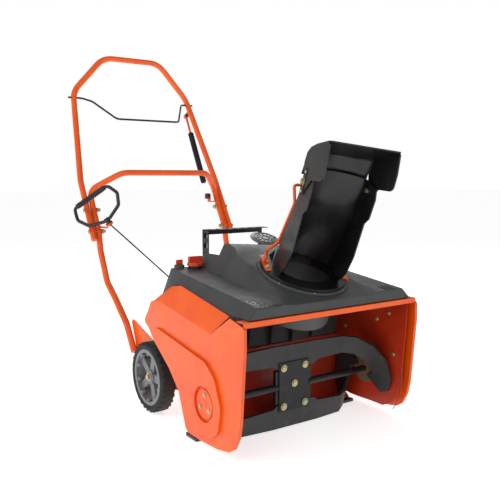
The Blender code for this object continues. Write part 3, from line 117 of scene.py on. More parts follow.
class Ground:
    """The outer skin of a CAD node, for setting details down on it."""

    def __init__(self, node: str) -> None:
        """Reads the node's mesh.

        Args:
            node: the CAD node's name.
        """
        mesh = frame["nodes"][node].data
        points = [v.co.copy() for v in mesh.vertices]
        faces = [tuple(p.vertices) for p in mesh.polygons]
        self.tree = BVHTree.FromPolygons(points, faces)

    def hit(self, start: Vector, heading: Vector) -> tuple[Vector, Vector]:
        """Where a line meets the skin.

        Args:
            start: a point outside the skin.
            heading: the way to look from there.

        Returns:
            The point met and the normal there, towards the start.
        """
        spot, normal, _, _ = self.tree.ray_cast(start, heading)
        if spot is None:
            raise ValueError(f"nothing lies along {heading} from {start}")
        return spot, (-normal if normal.dot(heading) > 0 else normal)


# ---------------------------------------------------------------- finishes


def add_node(tree: bpy.types.NodeTree, kind: str, links: Optional[dict] = None, **settings) -> bpy.types.Node:
    """Adds one node with its settings, socket values and links.

    Args:
        tree: the node tree.
        kind: the node's type name.
        links: input name or number to the output socket or the plain value that it takes.
        **settings: the node's own properties.

    Returns:
        The new node.
    """
    node = tree.nodes.new(kind)
    for name, value in settings.items():
        setattr(node, name, value)
    for key, value in (links or {}).items():
        socket = node.inputs[key]
        if isinstance(value, bpy.types.NodeSocket):
            tree.links.new(value, socket)
        else:
            socket.default_value = value
    return node


def to_linear(colour: str) -> tuple[float, float, float, float]:
    """The linear RGBA of an sRGB hex colour."""
    parts = [int(colour[i : i + 2], 16) / 255 for i in (1, 3, 5)]
    return (*(p / 12.92 if p <= 0.04045 else ((p + 0.055) / 1.055) ** 2.4 for p in parts), 1.0)


class Grain(Enum):
    """How a surface was made, which sets the pattern of its relief."""

    SPRAYED = "orange peel of a sprayed coat"
    MOULDED = "spark-eroded grain of a mould"
    CAST = "sand-cast skin"
    BRUSHED = "long fine lines"
    CELLS = "open cells of a foam"
    BRAIDED = "crossing strands"


@dataclass(frozen=True)
class Finish:
    """One finish: its colours, gloss and the size of its relief.

    Attributes:
        name: the material's name.
        colour: the main sRGB colour.
        tone: the colour that the main one drifts to.
        scuff: the colour of rubbed and dusty places.
        roughness: the middle of its roughness.
        metallic: 1 for bare metal.
        grain: how its relief was made.
        grain_mm: the relief's size.
        relief_mm: the relief's depth.
        edge_mm: how far an edge catches light, as a real bend or moulding radius does.
        wear: share of scuffed surface.
        coat: clear coat weight.
    """

    name: str
    colour: str
    tone: str
    scuff: str
    roughness: float
    metallic: float = 0.0
    grain: Grain = Grain.MOULDED
    grain_mm: float = 1.2
    relief_mm: float = 0.05
    edge_mm: float = 1.5
    wear: float = 0.25
    coat: float = 0.0

    def relief(self, tree: bpy.types.NodeTree, place: bpy.types.NodeSocket) -> bpy.types.NodeSocket:
        """The height pattern of the finish.

        Args:
            tree: the material's tree.
            place: the object coordinates.

        Returns:
            A height from 0 to 1.
        """
        scale = 1000 / self.grain_mm
        if self.grain is Grain.CELLS:
            cells = add_node(tree, "ShaderNodeTexVoronoi", {"Vector": place, "Scale": scale})
            return cells.outputs["Distance"]
        if self.grain is Grain.BRAIDED:
            turned = add_node(tree, "ShaderNodeMapping", {"Vector": place, "Rotation": (0.0, 0.6, 0.5)})
            links = {"Vector": turned.outputs[0], "Scale": scale / 6, "Distortion": 1.5}
            kinds = {"wave_type": "BANDS", "bands_direction": "DIAGONAL"}
            strands = add_node(tree, "ShaderNodeTexWave", links, **kinds)
            return strands.outputs["Fac"]
        stretch = (0.06, 1.0, 1.0) if self.grain is Grain.BRUSHED else (1.0, 1.0, 1.0)
        drawn = add_node(tree, "ShaderNodeMapping", {"Vector": place, "Scale": stretch})
        detail = 2.0 if self.grain is Grain.SPRAYED else 5.0
        links = {"Vector": drawn.outputs[0], "Scale": scale, "Detail": detail, "Roughness": 0.6}
        return add_node(tree, "ShaderNodeTexNoise", links).outputs["Fac"]

    def build(self) -> bpy.types.Material:
        """Makes the material.

        Returns:
            The material, with colour drift, scuffs, uneven gloss, relief and soft edges.
        """
        material = bpy.data.materials.new(self.name)
        material.use_nodes = True
        tree = material.node_tree
        shader = tree.nodes["Principled BSDF"]
        place = add_node(tree, "ShaderNodeTexCoord").outputs["Object"]
        # Drift over about 9 cm, as between batches of paint, sunlit and shaded plastic.
        drift = add_node(tree, "ShaderNodeTexNoise", {"Vector": place, "Scale": 11.0, "Detail": 3.0})
        band = {"Value": drift.outputs["Fac"], "From Min": 0.35, "From Max": 0.68, "To Max": 0.85}
        share = add_node(tree, "ShaderNodeMapRange", band, interpolation_type="SMOOTHSTEP")
        colours = {0: share.outputs[0], 6: to_linear(self.colour), 7: to_linear(self.tone)}
        mixed = add_node(tree, "ShaderNodeMix", colours, data_type="RGBA")
        # Scuffs: short rubbed streaks of about 8 mm, only where a wider pattern of 5 cm lets them.
        streaks = add_node(tree, "ShaderNodeMapping", {"Vector": place, "Scale": (1.0, 0.35, 1.6)})
        links = {"Vector": streaks.outputs[0], "Scale": 120.0, "Detail": 8.0}
        fine = add_node(tree, "ShaderNodeTexNoise", links)
        wide = add_node(tree, "ShaderNodeTexNoise", {"Vector": place, "Scale": 20.0, "Detail": 2.0})
        both = add_node(
            tree, "ShaderNodeMath", {0: fine.outputs["Fac"], 1: wide.outputs["Fac"]}, operation="MULTIPLY"
        )
        band = {"Value": both.outputs[0], "From Min": 0.30, "From Max": 0.42, "To Max": self.wear}
        scuffed = add_node(tree, "ShaderNodeMapRange", band).outputs[0]
        colours = {0: scuffed, 6: mixed.outputs[2], 7: to_linear(self.scuff)}
        worn = add_node(tree, "ShaderNodeMix", colours, data_type="RGBA")
        tree.links.new(worn.outputs[2], shader.inputs["Base Color"])
        band = {
            "Value": both.outputs[0],
            "From Min": 0.12,
            "From Max": 0.42,
            "To Min": max(self.roughness - 0.07, 0.05),
            "To Max": min(self.roughness + 0.12, 1.0),
        }
        gloss = add_node(tree, "ShaderNodeMapRange", band)
        tree.links.new(gloss.outputs[0], shader.inputs["Roughness"])
        soft = add_node(tree, "ShaderNodeBevel", {"Radius": self.edge_mm / 1000}, samples=4)
        links = {
            "Height": self.relief(tree, place),
            "Normal": soft.outputs[0],
            "Distance": self.relief_mm / 1000,
            "Strength": 0.8,
        }
        bump = add_node(tree, "ShaderNodeBump", links)
        tree.links.new(bump.outputs[0], shader.inputs["Normal"])
        shader.inputs["Metallic"].default_value = self.metallic
        shader.inputs["Coat Weight"].default_value = self.coat
        shader.inputs["Coat Roughness"].default_value = 0.12
        return material


# Each finish is keyed by the record's material slot that it dresses.
FINISHES = {
    # Powder-coated sheet steel: a satin coat with orange peel a few millimetres wide.
    "orange_paint": Finish(
        "orange_powder_coat", "#F86000", "#F05400", "#F0803A", 0.36, grain=Grain.SPRAYED, grain_mm=3.0,
        relief_mm=0.05, edge_mm=2.5, wear=0.05, coat=0.04,
    ),
    # The same coat inside the intake, dulled by grit scuffs, its colour darkened as painted shade for the
    # shadow inside the intake.
    "inner_orange": Finish(
        "scoured_painted_shade_coat", "#C23008", "#A62606", "#8E4A36", 0.46, grain=Grain.SPRAYED, grain_mm=3.0,
        relief_mm=0.08, edge_mm=2.0, wear=0.45, coat=0.1,
    ),
    # Moulded polypropylene cover: a fine leather-like grain that greys the highlights.
    "hood_plastic": Finish(
        "grained_grey_polypropylene", "#4A4B4C", "#414243", "#6E6F71", 0.48, grain_mm=1.4, relief_mm=0.07,
        edge_mm=5.0, wear=0.14,
    ),
    # Smooth moulded polyethylene of the chute: dark with a broad soft sheen.
    "black_plastic": Finish(
        "smooth_black_polyethylene", "#1B1B1C", "#131314", "#4A4A4C", 0.33, grain_mm=2.2, relief_mm=0.03,
        edge_mm=2.5, wear=0.10, coat=0.1,
    ),
    # Painted steel rod and plate: satin black, with rubbed grey at the streaks.
    "black_steel": Finish(
        "satin_black_steel", "#1C1D1E", "#141415", "#5A5B5D", 0.38, 0.25, Grain.SPRAYED, 2.0, 0.04, 1.0, 0.25,
    ),
    # Cord-reinforced paddle rubber: matt, with ground-in dust.
    "rubber": Finish(
        "paddle_rubber", "#343435", "#2B2B2C", "#5A5854", 0.55, grain_mm=2.5, relief_mm=0.12,
        wear=0.35,
    ),
    # Solid tyre rubber: matt black, dusty on the lugs.
    "tyre_rubber": Finish(
        "tyre_rubber", "#2A2A2B", "#222223", "#5C5A56", 0.80, grain_mm=2.0, relief_mm=0.12,
        wear=0.40,
    ),
    # Glass-filled nylon wheel centre: mid grey, faintly mottled.
    "rim_plastic": Finish(
        "grey_nylon", "#7E8286", "#6F7377", "#A2A5A8", 0.48, grain_mm=1.5, relief_mm=0.06, wear=0.2,
    ),
    # Yellow-passivated zinc on fasteners: straw tint over bright steel.
    "zinc": Finish(
        "yellow_zinc_plate", "#C9BC8A", "#AFA98F", "#EDE6C4", 0.36, 0.80, Grain.BRUSHED, 0.8, 0.02,
        0.2, 0.3,
    ),
    # Sand-cast aluminium of the crankcase: pale, pitted, matt.
    "cast_aluminium": Finish(
        "cast_aluminium", "#8C8E90", "#76787A", "#B5B7B9", 0.52, 0.9, Grain.CAST, 1.6, 0.15, 2.0,
    ),
    # Stamped stainless: brushed, and dulled to a mid grey by heat.
    "bright_steel": Finish(
        "stamped_stainless", "#8E8F8E", "#7C7974", "#B9B9B7", 0.34, 1.0, Grain.BRUSHED, 0.7, 0.03,
        1.2,
    ),
    # Closed-cell foam sleeve: soft matt black with fine pores.
    "foam": Finish(
        "foam_sleeve", "#1F1F20", "#181819", "#3A3A3B", 0.90, grain=Grain.CELLS, grain_mm=1.4,
        relief_mm=0.2,
    ),
    # Fabric-faced drive belt.
    "belt_rubber": Finish(
        "belt_rubber", "#1C1C1D", "#151516", "#3E3C39", 0.75, grain=Grain.BRUSHED, grain_mm=1.5,
    ),
    # Gloss moulded acetal of the cap and key.
    "cap_red": Finish(
        "orange_red_acetal", "#E2401A", "#CF3512", "#F07A58", 0.30, grain_mm=1.5, relief_mm=0.03,
        coat=0.2,
    ),
    # Braided nylon starter cord, its strands drawn at about 2 mm so that they show.
    "rope": Finish(
        "braided_nylon", "#2C2C2D", "#3C3C3D", "#5C5C5D", 0.85, grain=Grain.BRAIDED, grain_mm=2.0,
        relief_mm=0.3,
    ),
}


class Finishes:
    """The built materials, dressed on the CAD nodes by their slots."""

    def __init__(self) -> None:
        """Builds every finish once."""
        self.made = {slot: finish.build() for slot, finish in FINISHES.items()}

    def __getitem__(self, slot: str) -> bpy.types.Material:
        """The material of one slot."""
        return self.made[slot]

    def dress_nodes(self) -> None:
        """Gives each CAD node the finish of its record slot."""
        for entry in frame["record"]["subparts"]:
            thing = frame["nodes"][entry["node"]]
            thing.data.materials.clear()
            thing.data.materials.append(self.made[entry["material_slot"]])
            LOG.info("finish %s on %s", self.made[entry["material_slot"]].name, entry["node"])


# ---------------------------------------------------------------- mesh tools


def put(cage: bmesh.types.BMesh, name: str, degrees: float = 35) -> bpy.types.Object:
    """Turns a bmesh into an object, shaded smooth up to an angle.

    Args:
        cage: the mesh, which is freed.
        name: the object's name.
        degrees: edges sharper than this stay sharp.

    Returns:
        The new object at the origin.
    """
    bmesh.ops.remove_doubles(cage, verts=cage.verts, dist=1e-6)
    bmesh.ops.recalc_face_normals(cage, faces=cage.faces)
    mesh = bpy.data.meshes.new(name)
    cage.to_mesh(mesh)
    cage.free()
    mesh.shade_smooth()
    mesh.set_sharp_from_angle(angle=math.radians(degrees))
    thing = bpy.data.objects.new(name, mesh)
    bpy.context.scene.collection.objects.link(thing)
    return thing


def lathe(profile: Sequence[tuple[float, float]], steps: int) -> bmesh.types.BMesh:
    """A closed turned shape about Z.

    Args:
        profile: (radius, height) points; a radius of 0 closes an end.
        steps: sides round the axis.

    Returns:
        The mesh.
    """
    cage = bmesh.new()
    spots = [cage.verts.new((r, 0, h)) for r, h in profile]
    edges = [cage.edges.new(pair) for pair in zip(spots, spots[1:])]
    if profile[0][0] > 0:
        edges.append(cage.edges.new((spots[-1], spots[0])))
    bmesh.ops.spin(cage, geom=spots + edges, axis=(0, 0, 1), cent=(0, 0, 0), steps=steps, angle=math.tau)
    bmesh.ops.remove_doubles(cage, verts=cage.verts, dist=1e-6)
    return cage


def bar(points: Sequence[Vector], radius: float, sides: int = 10, closed: bool = False) -> bmesh.types.BMesh:
    """A round bar along points.

    Args:
        points: the bar's centre line.
        radius: its radius.
        sides: sides round it.
        closed: whether the line joins its own start.

    Returns:
        The mesh, capped unless it is closed.
    """
    cage = bmesh.new()
    count = len(points)
    rings = []
    side = None
    for index, point in enumerate(points):
        before = points[index - 1] if closed or index else point
        after = points[(index + 1) % count] if closed or index < count - 1 else point
        along = (after - before).normalized()
        if side is None:
            side = along.orthogonal().normalized()
        side = (side - along * side.dot(along)).normalized()
        up = along.cross(side)
        angles = [math.tau * k / sides for k in range(sides)]
        spread = [(side * math.cos(a) + up * math.sin(a)) * radius for a in angles]
        rings.append([cage.verts.new(point + offset) for offset in spread])
    pairs = list(zip(rings, rings[1:])) + ([(rings[-1], rings[0])] if closed else [])
    for low, high in pairs:
        for k in range(sides):
            cage.faces.new((low[k], low[(k + 1) % sides], high[(k + 1) % sides], high[k]))
    if not closed:
        cage.faces.new(list(reversed(rings[0])))
        cage.faces.new(rings[-1])
    return cage


def slab(outline: Sequence[tuple[float, float]], thickness: float) -> bmesh.types.BMesh:
    """A flat plate in XY from z 0 up to its thickness, with its top edge eased."""
    cage = bmesh.new()
    centre = Vector((sum(p[0] for p in outline), sum(p[1] for p in outline), 0)) / len(outline)
    ease = min(thickness * 0.35, 0.001)
    levels = []
    for height, inset in ((0.0, 0.0), (thickness - ease, 0.0), (thickness, ease)):
        ring = []
        for x, y in outline:
            spot = Vector((x, y, 0))
            inward = (centre - spot).normalized() * inset
            ring.append(cage.verts.new(spot + inward + Vector((0, 0, height))))
        levels.append(ring)
    for low, high in zip(levels, levels[1:]):
        for k in range(len(outline)):
            n = (k + 1) % len(outline)
            cage.faces.new((low[k], low[n], high[n], high[k]))
    cage.faces.new(list(reversed(levels[0])))
    cage.faces.new(levels[-1])
    return cage


def move(cage: bmesh.types.BMesh, place: Vector, turn: Optional[Matrix] = None) -> bmesh.types.BMesh:
    """Turns a mesh and sets it down at a place."""
    matrix = Matrix.Translation(place) @ (turn.to_4x4() if turn else Matrix.Identity(4))
    bmesh.ops.transform(cage, matrix=matrix, verts=cage.verts)
    return cage


def merge(cages: Iterable[bmesh.types.BMesh]) -> bmesh.types.BMesh:
    """Several meshes as one."""
    whole = bmesh.new()
    for cage in cages:
        mesh = bpy.data.meshes.new("merging")
        cage.to_mesh(mesh)
        cage.free()
        whole.from_mesh(mesh)
        bpy.data.meshes.remove(mesh)
    return whole


# ---------------------------------------------------------------- repeated details


@dataclass
class Stamping:
    """Repeats one small shape over places, with a Geometry Nodes tree.

    Attributes:
        tree: the node tree, made once.
    """

    tree: bpy.types.NodeTree = field(init=False)

    def __post_init__(self) -> None:
        """Builds the tree: Instance on Points, Realize Instances and Set Material."""
        tree = bpy.data.node_groups.new("stamped_details", "GeometryNodeTree")
        face = tree.interface
        face.new_socket("Geometry", in_out="INPUT", socket_type="NodeSocketGeometry")
        face.new_socket("Shape", in_out="INPUT", socket_type="NodeSocketObject")
        face.new_socket("Size", in_out="INPUT", socket_type="NodeSocketFloat")
        face.new_socket("Finish", in_out="INPUT", socket_type="NodeSocketMaterial")
        face.new_socket("Geometry", in_out="OUTPUT", socket_type="NodeSocketGeometry")
        given = add_node(tree, "NodeGroupInput").outputs
        shape = add_node(tree, "GeometryNodeObjectInfo", {"Object": given["Shape"]})
        turn = add_node(tree, "GeometryNodeInputNamedAttribute", {"Name": "turn"}, data_type="FLOAT_VECTOR")
        rotation = add_node(tree, "FunctionNodeEulerToRotation", {0: turn.outputs[0]})
        links = {
            "Points": given["Geometry"],
            "Instance": shape.outputs["Geometry"],
            "Rotation": rotation.outputs[0],
            "Scale": given["Size"],
        }
        stamped = add_node(tree, "GeometryNodeInstanceOnPoints", links)
        real = add_node(tree, "GeometryNodeRealizeInstances", {"Geometry": stamped.outputs[0]})
        dressed = add_node(
            tree, "GeometryNodeSetMaterial", {"Geometry": real.outputs[0], "Material": given["Finish"]}
        )
        add_node(tree, "NodeGroupOutput", {"Geometry": dressed.outputs[0]})
        self.tree = tree

    def stamp(
        self,
        name: str,
        shape: bmesh.types.BMesh,
        places: Sequence[tuple[Vector, Matrix]],
        finish: bpy.types.Material,
        size: float = 1.0,
    ) -> bpy.types.Object:
        """Stamps a shape at every place and bakes the result to one plain mesh.

        Args:
            name: the piece's name.
            shape: the small shape, about its own origin.
            places: where each copy goes and how it is turned.
            finish: its material.
            size: scale of every copy.

        Returns:
            The finished piece, which still has to ride on a body.
        """
        pattern = put(shape, name + "_shape", 40)
        mesh = bpy.data.meshes.new(name + "_places")
        mesh.from_pydata([place for place, _ in places], [], [])
        turns = mesh.attributes.new("turn", "FLOAT_VECTOR", "POINT")
        for entry, (_, turn) in zip(turns.data, places):
            entry.vector = turn.to_euler()
        carrier = bpy.data.objects.new(name + "_places", mesh)
        bpy.context.scene.collection.objects.link(carrier)
        nodes = carrier.modifiers.new("details", "NODES")
        nodes.node_group = self.tree
        values = {"Shape": pattern, "Size": size, "Finish": finish}
        for socket in self.tree.interface.items_tree:
            if socket.in_out == "INPUT" and socket.name in values:
                nodes[socket.identifier] = values[socket.name]
        bpy.context.view_layer.update()
        graph = bpy.context.evaluated_depsgraph_get()
        baked = bpy.data.meshes.new_from_object(carrier.evaluated_get(graph))
        baked.name = name
        piece = bpy.data.objects.new(name, baked)
        bpy.context.scene.collection.objects.link(piece)
        bpy.data.objects.remove(carrier)
        bpy.data.objects.remove(pattern)
        return piece


def settle(
    piece: bpy.types.Object, body: str, finish: Optional[bpy.types.Material] = None
) -> None:
    """Rides a piece on its body and reports it.

    Args:
        piece: the piece.
        body: the CAD body that it moves with.
        finish: its material, unless it has one.
    """
    if finish is not None:
        piece.data.materials.clear()
        piece.data.materials.append(finish)
    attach(piece, body)
    LOG.info("piece %s rides on %s", piece.name, body)


@dataclass
class Part:
    """What every sub-assembly shares: the finishes and the stamping tree."""

    finishes: Finishes
    stamping: Stamping

    def hex_bolt(self, radius: float = 0.0065) -> bmesh.types.BMesh:
        """A hex head on a washer, about the point where it meets its plate."""
        height = radius * 0.6
        rim = radius * 1.4
        washer = lathe([(0, 0.0012), (radius * 1.32, 0.0012), (rim, 0.0006), (rim, 0), (0, 0)], 20)
        flat = (radius * 0.82, height)
        profile = [(0, height), flat, (radius, height - 0.0008), (radius, 0.001), (0, 0.001)]
        return merge([washer, lathe(profile, 6)])

    def bolts(
        self, name: str, body: str, places: Sequence[tuple[Vector, Matrix]], radius: float = 0.0065
    ) -> None:
        """Sets zinc hex bolts at places on one body."""
        piece = self.stamping.stamp(name, self.hex_bolt(radius), places, self.finishes["zinc"])
        settle(piece, body)


def pierced(
    xs: Sequence[float], ys: Sequence[float], open_cells: set, thickness: float
) -> bmesh.types.BMesh:
    """A flat sheet in XY, laid out on grid lines, with some of its cells punched out.

    Args:
        xs: the grid lines across.
        ys: the grid lines along.
        open_cells: (column, row) of every punched cell.
        thickness: the sheet's thickness, up from z 0.

    Returns:
        The closed mesh.
    """
    cage = bmesh.new()
    spots = {}

    def corner(i: int, j: int, level: int) -> bmesh.types.BMVert:
        """The vertex at a grid crossing."""
        if (i, j, level) not in spots:
            spots[i, j, level] = cage.verts.new((xs[i], ys[j], thickness * level))
        return spots[i, j, level]

    cells = {(i, j) for i in range(len(xs) - 1) for j in range(len(ys) - 1)} - open_cells
    for i, j in sorted(cells):
        ring = [(i, j), (i + 1, j), (i + 1, j + 1), (i, j + 1)]
        cage.faces.new([corner(*spot, 1) for spot in ring])
        cage.faces.new([corner(*spot, 0) for spot in reversed(ring)])
        beside = ((i, j - 1), (i + 1, j), (i, j + 1), (i - 1, j))
        for k, other in enumerate(beside):
            if other not in cells:
                a, b = ring[k], ring[(k + 1) % 4]
                cage.faces.new((corner(*a, 0), corner(*b, 0), corner(*b, 1), corner(*a, 1)))
    return cage


# ---------------------------------------------------------------- sub-assemblies


@dataclass
class Skins(Part):
    """Smooth-shaded copies of the curved CAD pieces, so that their facets don't show."""

    degrees: float = 38.0
    nodes: tuple[str, ...] = (
        "chute", "deflector", "hood", "upper_paddle", "lower_paddle", "upper_handle", "lower_handle",
        "recoil_handle", "chute_handle", "clutch_bail", "tyre_left", "tyre_right", "wheel_rim_left",
        "wheel_rim_right", "left_side_plate", "right_side_plate", "discharge_throat", "back_panel", "lip_bar",
        "chute_lever", "chute_ring", "muffler", "auger_shaft", "heat_shield", "fuel_cap",
    )

    def build(self) -> None:
        """Copies every listed node onto its own body."""
        slots = {entry["node"]: entry["material_slot"] for entry in frame["record"]["subparts"]}
        for node in self.nodes:
            if node in slots:
                self.copy(node, slots[node])

    def copy(self, node: str, slot: str) -> None:
        """Makes the smooth copy of one node.

        Args:
            node: the CAD node.
            slot: its material slot.
        """
        source = frame["nodes"][node]
        mesh = bpy.data.meshes.new(node + "_source")
        points = [source.matrix_world @ v.co for v in source.data.vertices]
        mesh.from_pydata(points, [], [tuple(p.vertices) for p in source.data.polygons])
        cage = bmesh.new()
        cage.from_mesh(mesh)
        bpy.data.meshes.remove(mesh)
        bmesh.ops.remove_doubles(cage, verts=cage.verts, dist=2e-6)
        piece = put(cage, node + "_skin", self.degrees)
        weighted = piece.modifiers.new("normals", "WEIGHTED_NORMAL")
        weighted.keep_sharp = True
        bpy.context.view_layer.update()
        baked = bpy.data.meshes.new_from_object(piece.evaluated_get(bpy.context.evaluated_depsgraph_get()))
        piece.modifiers.clear()
        piece.data = baked
        baked.name = node + "_skin"
        body = next(name for name, empty in frame["bodies"].items() if source.parent == empty)
        settle(piece, body, self.finishes[slot])
        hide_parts(node)


@dataclass
class Housing(Part):
    """The steel housing: bearing covers, bolts and stamped beads."""

    cover_radius: float = 0.037
    bolt_circle: float = 0.0235

    def build(self) -> None:
        """Builds every detail of the housing."""
        self.bearing_covers()
        self.wall_bolts()
        self.inner_beads()

    def bearing_covers(self) -> None:
        """The pressed covers in the plates' recesses, each held by three bolts."""
        axis = middle("auger_bearing_left")
        for side, plate in ((-1, "left_side_plate"), (1, "right_side_plate")):
            low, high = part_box(plate)
            face = (low.x + 0.0070) if side < 0 else (high.x - 0.0070)
            turn = upright(Vector((side, 0, 0)))
            ridge = self.cover_radius
            profile = [(0, 0.0046), (0.009, 0.0046), (0.012, 0.0034), (0.030, 0.0034), (0.034, 0.0048)]
            profile += [(ridge, 0.0044), (ridge + 0.001, 0.0003), (0, 0.0003)]
            dish = move(lathe(profile, 48), Vector((face, axis.y, axis.z)), turn)
            cover = put(dish, f"bearing_cover_{plate[:4]}")
            settle(cover, "chassis", self.finishes["orange_paint"])
            places = []
            for angle in (90, 210, 330):
                swing = math.radians(angle)
                offset = Vector((0, math.cos(swing), math.sin(swing))) * self.bolt_circle
                places.append((Vector((face + side * 0.0034, axis.y, axis.z)) + offset, turn))
            self.bolts(f"bearing_bolts_{plate[:4]}", "chassis", places, 0.0050)

    def wall_bolts(self) -> None:
        """The small bolts on the inner right wall."""
        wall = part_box("belt_wall")[0].x
        turn = upright(Vector((-1, 0, 0)))
        spots = ((0.075, 0.292), (0.120, 0.268), (0.205, 0.285), (0.250, 0.225), (0.055, 0.180))
        places = [(Vector((wall, from_lip(0, depth, 0).y, height)), turn) for depth, height in spots]
        self.bolts("belt_wall_bolts", "chassis", places, 0.0048)

    def inner_beads(self) -> None:
        """Two curved stiffening beads pressed into the inner right wall."""
        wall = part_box("belt_wall")[0].x
        cages = []
        for radius in (0.128, 0.142):
            points = []
            for step in range(25):
                angle = math.radians(-38 + 98 * step / 24)
                depth = 0.163 - radius * math.cos(angle)
                spot = from_lip(0, depth, 0.112 + radius * math.sin(angle))
                points.append(Vector((wall + 0.0004, spot.y, spot.z)))
            cages.append(bar(points, 0.0012, 8))
        settle(put(merge(cages), "wall_beads"), "chassis", self.finishes["inner_orange"])


@dataclass
class Hood(Part):
    """The cover's vents, louvres and screws."""

    screw_circle: float = 0.1190

    def build(self) -> None:
        """Builds every detail of the hood."""
        ground = Ground("hood")
        self.vent(ground)
        self.louvres(ground)
        self.ring_screws()

    def seat(self, ground: Ground, across: float, depth: float) -> tuple[Vector, Matrix]:
        """The place on the hood's skin above a spot, with the turn that lies on it.

        Args:
            ground: the hood's skin.
            across: metres from the machine's middle.
            depth: metres behind the lip.

        Returns:
            The point and the turn.
        """
        spot, normal = ground.hit(from_lip(across, depth, 0.7), Vector((0, 0, -1)))
        return spot, upright(normal)

    def vent(self, ground: Ground) -> None:
        """The triangular recess at the front left of the apron, drawn as a dark sheet of painted shade, with
        its small round holes drawn as dark discs of painted shade.
        """
        outline = ((-0.234, 0.006), (-0.166, 0.006), (-0.234, 0.074))
        # Painted shade: the recess is a thin dark plastic sheet lying on the hood, not a hollow.
        panel = slab([(x, d) for x, d in outline], 0.0010)
        centre = Vector((sum(p[0] for p in outline), sum(p[1] for p in outline), 0)) / 3
        bmesh.ops.translate(panel, vec=-centre, verts=panel.verts)
        seat, turn = self.seat(ground, centre.x, centre.y)
        recess = put(move(panel, seat - (turn @ Vector((0, 0, 0.0006))), turn), "vent_recess")
        settle(recess, "chassis", self.finishes["black_plastic"])
        places = []
        for row in range(4):
            for column in range(4 - row):
                places.append(self.seat(ground, -0.226 + 0.0135 * column, 0.015 + 0.0135 * row))
        # Painted shade: each hole is a dark rubber disc standing a little proud of the hood, not an opening.
        hole = lathe([(0, 0.0012), (0.0030, 0.0012), (0.0042, 0.0004), (0.0042, -0.001), (0, -0.001)], 14)
        piece = self.stamping.stamp("apron_vent", hole, places, self.finishes["rubber"])
        settle(piece, "chassis")

    def louvres(self, ground: Ground) -> None:
        """The short slots at the front right of the apron, drawn as dark raised slabs of painted shade."""
        outline = [(-0.016, -0.0022), (0.016, -0.0022), (0.018, 0), (0.016, 0.0022), (-0.016, 0.0022)]
        # Painted shade: each slot is a dark plastic slab lying on the hood, not an opening.
        slot = slab(outline + [(-0.018, 0)], 0.0012)
        places = [self.seat(ground, 0.200, 0.012 + 0.0085 * index) for index in range(5)]
        piece = self.stamping.stamp("apron_louvres", slot, places, self.finishes["black_plastic"])
        settle(piece, "chassis")

    def ring_screws(self) -> None:
        """Screws round the fixed ring that hold it to the hood."""
        turn_joint = joint("chute_turn")
        centre, up = Vector(turn_joint["pos_m"]), Vector(turn_joint["axis"])
        across = Vector((1, 0, 0))
        back = up.cross(across).normalized()
        turn = upright(up)
        places = []
        for index in range(8):
            swing = math.radians(22.5 + 45 * index)
            out = across * math.cos(swing) + back * math.sin(swing)
            places.append((centre + out * self.screw_circle - up * 0.0002, turn))
        head = lathe([(0, 0.0009), (0.0016, 0.0009), (0.0020, 0.0), (0, 0.0)], 12)
        settle(self.stamping.stamp("ring_screws", head, places, self.finishes["zinc"]), "chassis")


@dataclass
class Chute(Part):
    """The chute's bolts, straps and stiffening ribs."""

    wall: float = 0.080

    def __post_init__(self) -> None:
        """Finds the chute's own axes from its joints."""
        turn_joint, tilt = joint("chute_turn"), joint("deflector_tilt")
        self.centre, self.up = Vector(turn_joint["pos_m"]), Vector(turn_joint["axis"]).normalized()
        self.across = Vector(tilt["axis"]).normalized()
        self.back = self.up.cross(self.across)
        self.pivot = Vector(tilt["pos_m"])

    def spot(self, across: float, back: float, up: float) -> Vector:
        """A place in the chute's own frame."""
        return self.centre + self.across * across + self.back * back + self.up * up

    def build(self) -> None:
        """Builds every detail of the chute."""
        self.straps()
        self.bracket_bolts()
        self.flange_ribs()

    def straps(self) -> None:
        """The oval strap on each cheek of the deflector, with a rivet above and below its bolt."""
        outer = self.wall + 0.0037
        straps, rivets = [], []
        for side in (-1, 1):
            columns = Matrix((self.back * side, self.up, self.across * side)).transposed()
            ring = []
            for step in range(28):
                a = math.tau * step / 28
                lift = 0.024 if math.sin(a) > 0 else -0.024
                ring.append((0.0105 * math.cos(a), lift + 0.0105 * math.sin(a)))
            place = self.pivot + self.across * side * outer
            straps.append(move(slab(ring, 0.0002 + 0.0009), place, columns))
            for lift in (-0.024, 0.024):
                rivets.append((place + self.up * lift + self.across * side * 0.001, columns))
        piece = put(merge(straps), "deflector_straps")
        settle(piece, "deflector", self.finishes["black_steel"])
        dome = lathe([(0, 0.0020), (0.0022, 0.0017), (0.0036, 0.0006), (0.0038, 0), (0, 0)], 16)
        settle(self.stamping.stamp("strap_rivets", dome, rivets, self.finishes["zinc"]), "deflector")

    def bracket_bolts(self) -> None:
        """The bolt through each ring bracket."""
        turn = upright(self.up)
        spots = [(side * 0.104, back) for side in (-1, 1) for back in (-0.022, 0.034)]
        places = [(self.spot(across, back, 0.0112), turn) for across, back in spots]
        self.bolts("bracket_bolts", "chute", places, 0.0050)

    def flange_ribs(self) -> None:
        """Short ribs between the chute's back wall and its flange."""
        rib = slab([(0, 0), (0.013, 0), (0.0, 0.022)], 0.0016)
        places = []
        for angle in (35, 60, 90, 120, 145):
            swing = math.radians(angle)
            out = self.across * math.cos(swing) + self.back * math.sin(swing)
            columns = Matrix((out, self.up, out.cross(self.up))).transposed()
            places.append((self.spot(0, 0, 0.0072) + out * 0.0875, columns))
        piece = self.stamping.stamp("flange_ribs", rib, places, self.finishes["black_plastic"])
        settle(piece, "chute")


@dataclass
class Auger(Part):
    """The rotor's bolts on its front clamp plate."""

    def build(self) -> None:
        """Builds every detail of the rotor."""
        low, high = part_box("front_clamp_plate")
        turn = upright(Vector((0, -1, 0)))
        centre = (low + high) / 2
        face = low.y + 0.0030
        spots = ((-0.036, 0.052), (0.036, 0.052), (0.0, 0.006), (-0.036, -0.052), (0.036, -0.052))
        places = [(Vector((centre.x + x, face, centre.z + z)), turn) for x, z in spots]
        self.bolts("clamp_bolts", "auger", places, 0.0072)


